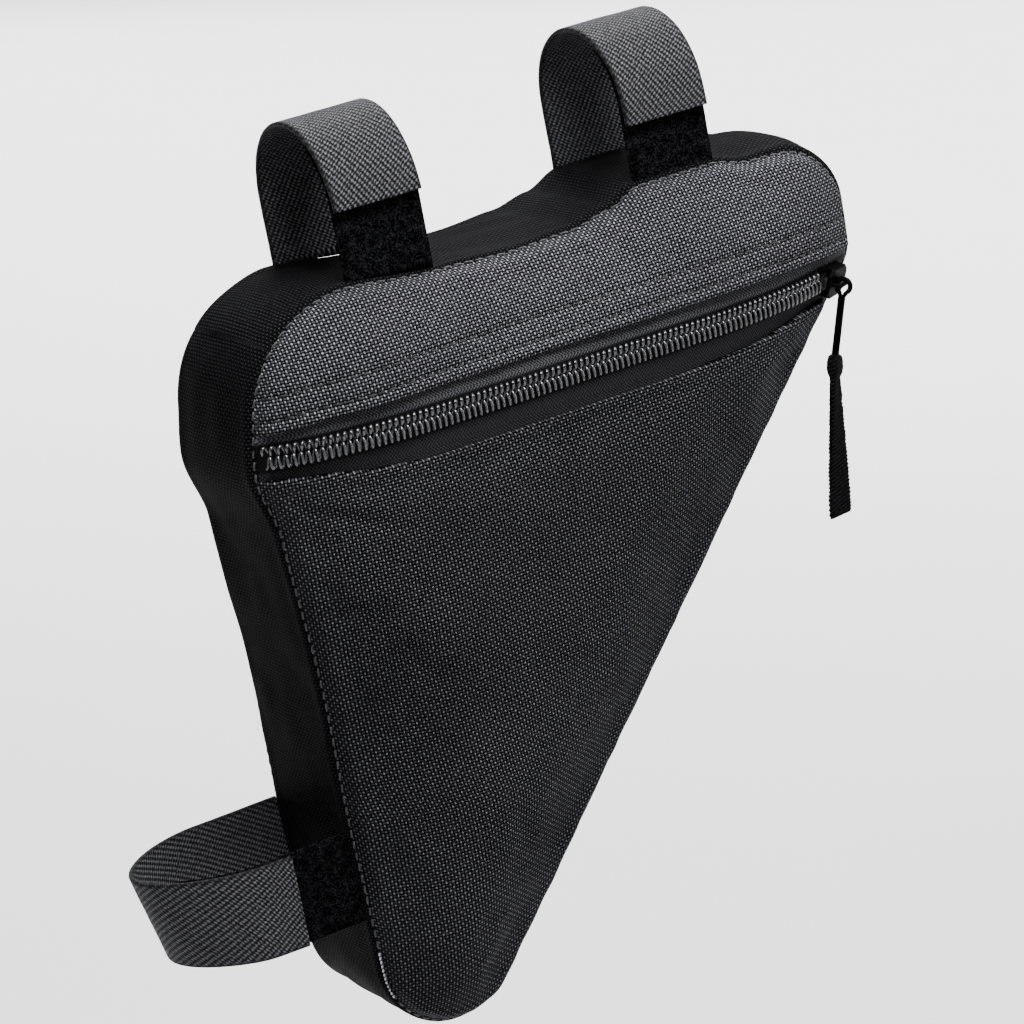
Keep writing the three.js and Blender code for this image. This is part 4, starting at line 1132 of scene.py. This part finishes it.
def strap_tape(name, strap, start, end, inner_out, thickness, material, seed, ends):
    """One tape on its route, with rounded edges and a little waviness."""
    rows, columns = 150, 30
    share = np.linspace(0, 1, rows + 1)[:, None]
    across = np.linspace(-1, 1, columns + 1)
    across = np.sign(across) * (1 - (1 - np.abs(across)) ** 1.6)
    across = across[None] * STRAP_WIDTH / 2
    place, total = spread_place(start, end, share)
    edge = np.clip((np.abs(across) - STRAP_WIDTH / 2 + 0.45) / 0.45, 0, 1)
    thin = 0.5 * thickness * (1 - np.sqrt(1 - np.minimum(edge, 0.96) ** 2))
    wavy = wave_noise(share * total, across, 21, seed, 2) * STRAP_WAVE
    wavy = wavy + STRAP_CURL * np.sin(share * total / 7 + seed) * (across / STRAP_WIDTH * 2) ** 2
    lift = END_LIFT * np.clip(1 - share * total / 8, 0, 1) ** 2 if ends["free"] else 0.0
    wavy = np.clip(wavy, -0.25, 0.25) + lift

    def layer(out):
        side, rise = loop_route(np.broadcast_to(place, (rows + 1, columns + 1)), TUBE_RADIUS + out)
        return strap["place"](side, rise, np.broadcast_to(across, side.shape), place, share, ends)

    outer = layer(inner_out + thickness - thin + wavy)
    inner = layer(inner_out + thin + wavy)
    uv = np.stack(np.broadcast_arrays(share * total, across), -1)
    return shell(name, outer, inner, uv, material)


def seated(ends, share, seat, clear):
    """The seat's own place at a sewn end, and elsewhere the place clear of it."""
    sits = (ends["start"] & (share == 0)) | (ends["end"] & (share == 1))
    return np.where(np.broadcast_to(sits, clear.shape), seat, clear)


def top_place(along, axis_rise):
    def place(side, rise, across, route, share, ends):
        seat = top_edge_height(along + across) + swell_on_top(along + across, side) + SEWN_GAP
        height = seated(ends, share, seat, np.maximum(axis_rise + rise, seat))
        return np.stack([along + across, side, height], -1)
    return place


def seat_place(drop, axis_out):
    def place(side, rise, across, route, share, ends):
        far = np.clip(np.sin(np.clip(route, 0, math.pi)), 0, 1)
        nose = 4 * far**4
        skew = 3 * far * across / (STRAP_WIDTH / 2)
        heights = np.linspace(-drop - 15, -drop + 15, 40)
        edge = np.array([outline_at(round_at_height(h, True))[0] for h in heights])
        seat = np.interp(-drop + across, heights, edge)
        swell = GUSSET_SWELL * SEAT_RUN_SWELL * (1 - (side / SEAM_PLANE) ** 2)
        face = seat - swell - SEWN_GAP
        x = seated(ends, share, face, np.minimum(-axis_out - rise - nose - skew, face))
        return np.stack([x, side, -drop + across], -1)
    return place


STRAPS = [
    {"name": "strap_top_rear", "place": top_place(49.0, 18.5), "reach": 18.5,
     "hook_from": HOOK_END_RISE - 18.5},
    {"name": "strap_top_front", "place": top_place(136.5, 22.0), "reach": 22.0,
     "hook_from": HOOK_END_RISE - 22.0},
    {"name": "strap_seat", "place": seat_place(152.5, 18.0), "reach": 24.5, "hook_from": 11.0 - 18.0},
]


def build_straps():
    for number, strap in enumerate(STRAPS):
        loop_name = strap["name"] + "_loop_tape"
        loop = strap_tape(
            strap["name"] + "_velvet", strap, -strap["reach"], LOOP_TAPE_TO, 0.0, LOOP_TAPE, VELVET,
            seed=20 + number, ends={"start": True, "end": False, "free": False},
        )
        hook = strap_tape(
            strap["name"] + "_dotted", strap, strap["hook_from"], math.pi + strap["reach"],
            LOOP_TAPE + 0.2, HOOK_TAPE, HOOK_BACK,
            seed=30 + number, ends={"start": False, "end": True, "free": True},
        )
        settle(loop, "bag", "loop_tape", loop_name)
        settle(hook, "bag", "hook_tape", strap["name"] + "_hook_tape")


def settle(piece, body, slot, *nodes):
    """Rides a piece on a body and puts it in the place of CAD nodes; its slot is not used."""
    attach(piece, body)
    if nodes:
        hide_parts(*nodes)


# Metal pieces and the tab
def softened(name, node, voxel, rounds, material):
    """A copy of a CAD node with its edges rounded as cast or drawn metal."""
    piece = placed(name, frame["nodes"][node].data.copy())
    remesh = piece.modifiers.new("remesh", "REMESH")
    remesh.mode = "VOXEL"
    remesh.voxel_size = voxel * MM
    remesh.use_smooth_shade = True
    smooth = piece.modifiers.new("smooth", "SMOOTH")
    smooth.factor = 0.5
    smooth.iterations = rounds
    seen = piece.evaluated_get(bpy.context.evaluated_depsgraph_get())
    mesh = bpy.data.meshes.new_from_object(seen)
    piece.modifiers.clear()
    piece.data = mesh
    mesh.materials.clear()
    mesh.materials.append(material)
    return piece


class Puller:
    """The hanging line of the puller: plumb below the slider's bridge, with a slight sway."""

    def __init__(self):
        joint = frame["joints"][0]
        self.pivot = np.array(joint["pos_m"]) / MM
        self.beam = -np.array(joint["axis"])
        self.cross = np.array([self.beam[1], -self.beam[0], 0.0])
        self.sway = np.array([0.87, -0.5, 0.0])

    def centre(self, down):
        aside = np.interp(down, SWAY_DOWN, SWAY_ASIDE)
        place = self.pivot + np.asarray(aside)[..., None] * self.sway
        place[..., 2] -= down
        return place


def link_piece(puller):
    """A slim bent wire: a round eye on the bridge, its two legs close together below."""
    turns = np.linspace(0, math.radians(150), 22)
    eye_down = EYE_DOWN - LINK_EYE * np.cos(turns)
    eye_half = LINK_EYE * np.sin(turns)
    leg_down = np.linspace(eye_down[-1] + 0.9, LINK_DROP - LINK_LEG, 30)
    foot = np.linspace(0, math.pi / 2, 7)[1:]
    down = np.concatenate([eye_down, leg_down, LINK_DROP - LINK_LEG + LINK_LEG * np.sin(foot)])
    half = np.concatenate([eye_half, np.full(30, LINK_LEG), LINK_LEG * np.cos(foot)])
    both_down = np.concatenate([down, down[::-1][1:-1]])
    sides = np.concatenate([half, -half[::-1][1:-1]])
    aside = EYE_ASIDE * (1 - smoothstep(both_down, 0.0, 4.0))
    path = puller.centre(both_down) + (sides + aside)[:, None] * puller.cross
    path = np.concatenate([path, path[:1]])
    wire = EYE_WIRE + (LINK_WIRE - EYE_WIRE) * smoothstep(np.append(both_down, down[0]), 0.5, 3.5)
    points, faces, uvs = tube(path, wire, sides=12, closed_ends=False)
    piece = mesh_piece("link_wire", points * MM, faces, uvs, METAL)
    turn_outward(piece)
    return piece


def tab_piece(puller):
    """Folded webbing: a knotted head round the link, ribbed edges, a slow twist, a cut end."""
    start, length = LINK_DROP - 1.6, TAB_LENGTH + 1.6
    rows, sides = 230, 44
    share = np.linspace(0, 1, rows + 1)
    places = [station[0] for station in TAB_STATIONS]
    width = np.interp(share, places, [station[1] for station in TAB_STATIONS])
    thick = np.interp(share, places, [station[2] for station in TAB_STATIONS])
    turn = 2 * math.pi * (np.arange(sides) + 0.5) / sides
    across = blunted(np.cos(turn), 0.5)[None] * width[:, None] / 2
    deep = blunted(np.sin(turn), 0.5)[None] * thick[:, None] / 2
    down = start + share * length
    body = smoothstep(share, 0.13, 0.18)[:, None]
    ribs = blunted(np.sin(2 * math.pi * down / TAB_RIB), 0.7)[:, None] * 0.2 * body
    across = across + ribs * blunted(np.cos(turn), 1)[None] ** 3
    across = across + 0.14 * wave_noise(across * 2, down[:, None], 4.5, 12, 2)
    valley = bell(across, 0, 0.16 * width[:, None]) * body
    deep = deep * (1 - 0.22 * valley) + 0.13 * wave_noise(across, down[:, None], 2.6, 3, 2)
    twist = TAB_TWIST * smoothstep(share, 0.05, 0.9)[:, None, None]
    wide = puller.beam * np.cos(twist) + puller.cross * np.sin(twist)
    flat = puller.cross * np.cos(twist) - puller.beam * np.sin(twist)
    drop = np.array([0, 0, 0.35]) * (across * np.clip((share[:, None] - 0.9) / 0.1, 0, 1))[..., None]
    points = puller.centre(down)[:, None] + across[..., None] * wide + deep[..., None] * flat + drop
    faces = ring_faces(rows, sides)
    uv = np.stack(np.broadcast_arrays(down[:, None], across + 0.6 * deep), -1).reshape(-1, 2)
    piece = mesh_piece("puller_webbing", (points * MM).reshape(-1, 3), faces, uv, WEBBING)
    turn_outward(piece)
    return piece


# Studio
def area_light(name, place, size, power, target):
    data = bpy.data.lights.new(name, "AREA")
    data.energy = power
    data.shape = "RECTANGLE"
    data.size, data.size_y = size
    lamp = placed(name, data)
    lamp.location = place
    aim = Vector(target) - Vector(place)
    lamp.rotation_euler = aim.to_track_quat("-Z", "Y").to_euler()
    return lamp


def studio():
    mesh = bpy.data.meshes.new("floor")
    half, low = FLOOR_HALF, FLOOR_HEIGHT
    corners = [(-half, -half, low), (half, -half, low), (half, half, low), (-half, half, low)]
    mesh.from_pydata(corners, [], [(0, 1, 2, 3)])
    floor = placed("floor", mesh)
    n = Nodes("floor_white")
    tone = n.mix(n.noise(3, 2), (0.86, 0.86, 0.865), (0.89, 0.89, 0.893))
    mesh.materials.append(n.finish(tone, 0.9, specular=0.2))
    world = bpy.data.worlds.new("studio")
    world.use_nodes = True
    world.node_tree.nodes["Background"].inputs[0].default_value = (1, 1, 1, 1)
    world.node_tree.nodes["Background"].inputs[1].default_value = SKY_LIGHT
    bpy.context.scene.world = world
    for lamp in BAG_LAMPS:
        area_light(*lamp)
    for number, (x, y, size, power) in enumerate(FLOOR_LAMPS):
        over = (x, y, FLOOR_LAMP_HEIGHT)
        lamp = area_light("floor_lamp_%d" % number, over, (size, size), power, (x, y, 0.0))
        lamp.data.spread = FLOOR_LAMP_SPREAD


def camera():
    data = bpy.data.cameras.new("camera")
    data.lens = CAMERA_LENS
    data.sensor_width = SENSOR_WIDTH
    eye = placed("camera", data)
    level = math.cos(CAMERA_ELEVATION)
    away = Vector((
        math.sin(CAMERA_AZIMUTH) * level, -math.cos(CAMERA_AZIMUTH) * level, math.sin(CAMERA_ELEVATION),
    ))
    eye.location = Vector(CAMERA_TARGET) + away * CAMERA_DISTANCE
    eye.rotation_euler = (-away).to_track_quat("-Z", "Y").to_euler()
    bpy.context.scene.camera = eye


def build_cloth():
    upper = cloth_panel(
        "front_cloth_upper", upper_patch, (72, 14), (300, 60), -1, UPPER_FOLD, STITCH_ROWS,
        LIT_UPPER_PANEL_WEAVE, 1)
    lower = cloth_panel(
        "front_cloth_lower", lower_patch, (40, 52), (130, 165), -1, LOWER_FOLD, (), PANEL_CLOTH, 2)
    back = cloth_panel(
        "back_cloth", back_patch, (44, 52), (130, 150), 1, None, (), PANEL_CLOTH, 3)
    panels = ((upper, "front_panel_upper"), (lower, "front_panel_lower"), (back, "back_panel"))
    for piece, node in panels:
        settle(piece, "bag", "cloth", node)
    settle(gusset_piece(), "bag", "gusset_cloth", "gusset")
    hem = hem_stitches("hem_threads", Skin(upper), STITCH_ROWS, UPPER_FOLD, GROOVE_SHADED_THREAD)
    settle(hem, "bag", "cloth")
    for name, side in (("front_seam_threads", -1), ("back_seam_threads", 1)):
        settle(seam_stitches(name, side, 3.2, THREAD_DARK), "bag", "gusset_cloth")
    low, high = round_at_height(-188, True), round_at_height(-174, True)
    pale = seam_stitches("pale_seam_threads", -1, 1.1, THREAD_PALE, low, high, lift=0.75)
    settle(pale, "bag", "gusset_cloth")


def build_zip():
    above = zip_tape("tape_upper", ZIP_FOLD_ABOVE + 5, LIT_UPPER_ZIP_TAPE)
    below = zip_tape("tape_lower", -ZIP_FOLD_BELOW - 5, SHADED_LOWER_ZIP_TAPE)
    settle(above, "bag", "zip_tape", "zip_tape_upper")
    settle(below, "bag", "zip_tape", "zip_tape_lower")
    upper = zip_coil_half("coil_upper", 1, UPPER_SLANT, UPPER_HEAD_DROP, COIL)
    lower = zip_coil_half("coil_lower", -1, LOWER_SLANT, LOWER_HEAD_DROP, COIL)
    settle(upper, "bag", "coil", "zip_coil")
    settle(lower, "bag", "coil", "zip_coil")
    settle(softened("slider_cast", "zip_slider", 0.22, 6, METAL), "bag", "metal", "zip_slider")
    puller = Puller()
    settle(link_piece(puller), "puller", "metal", "puller_link")
    settle(tab_piece(puller), "puller", "webbing", "puller_tab")


camera()
studio()
build_cloth()
build_zip()
build_straps()
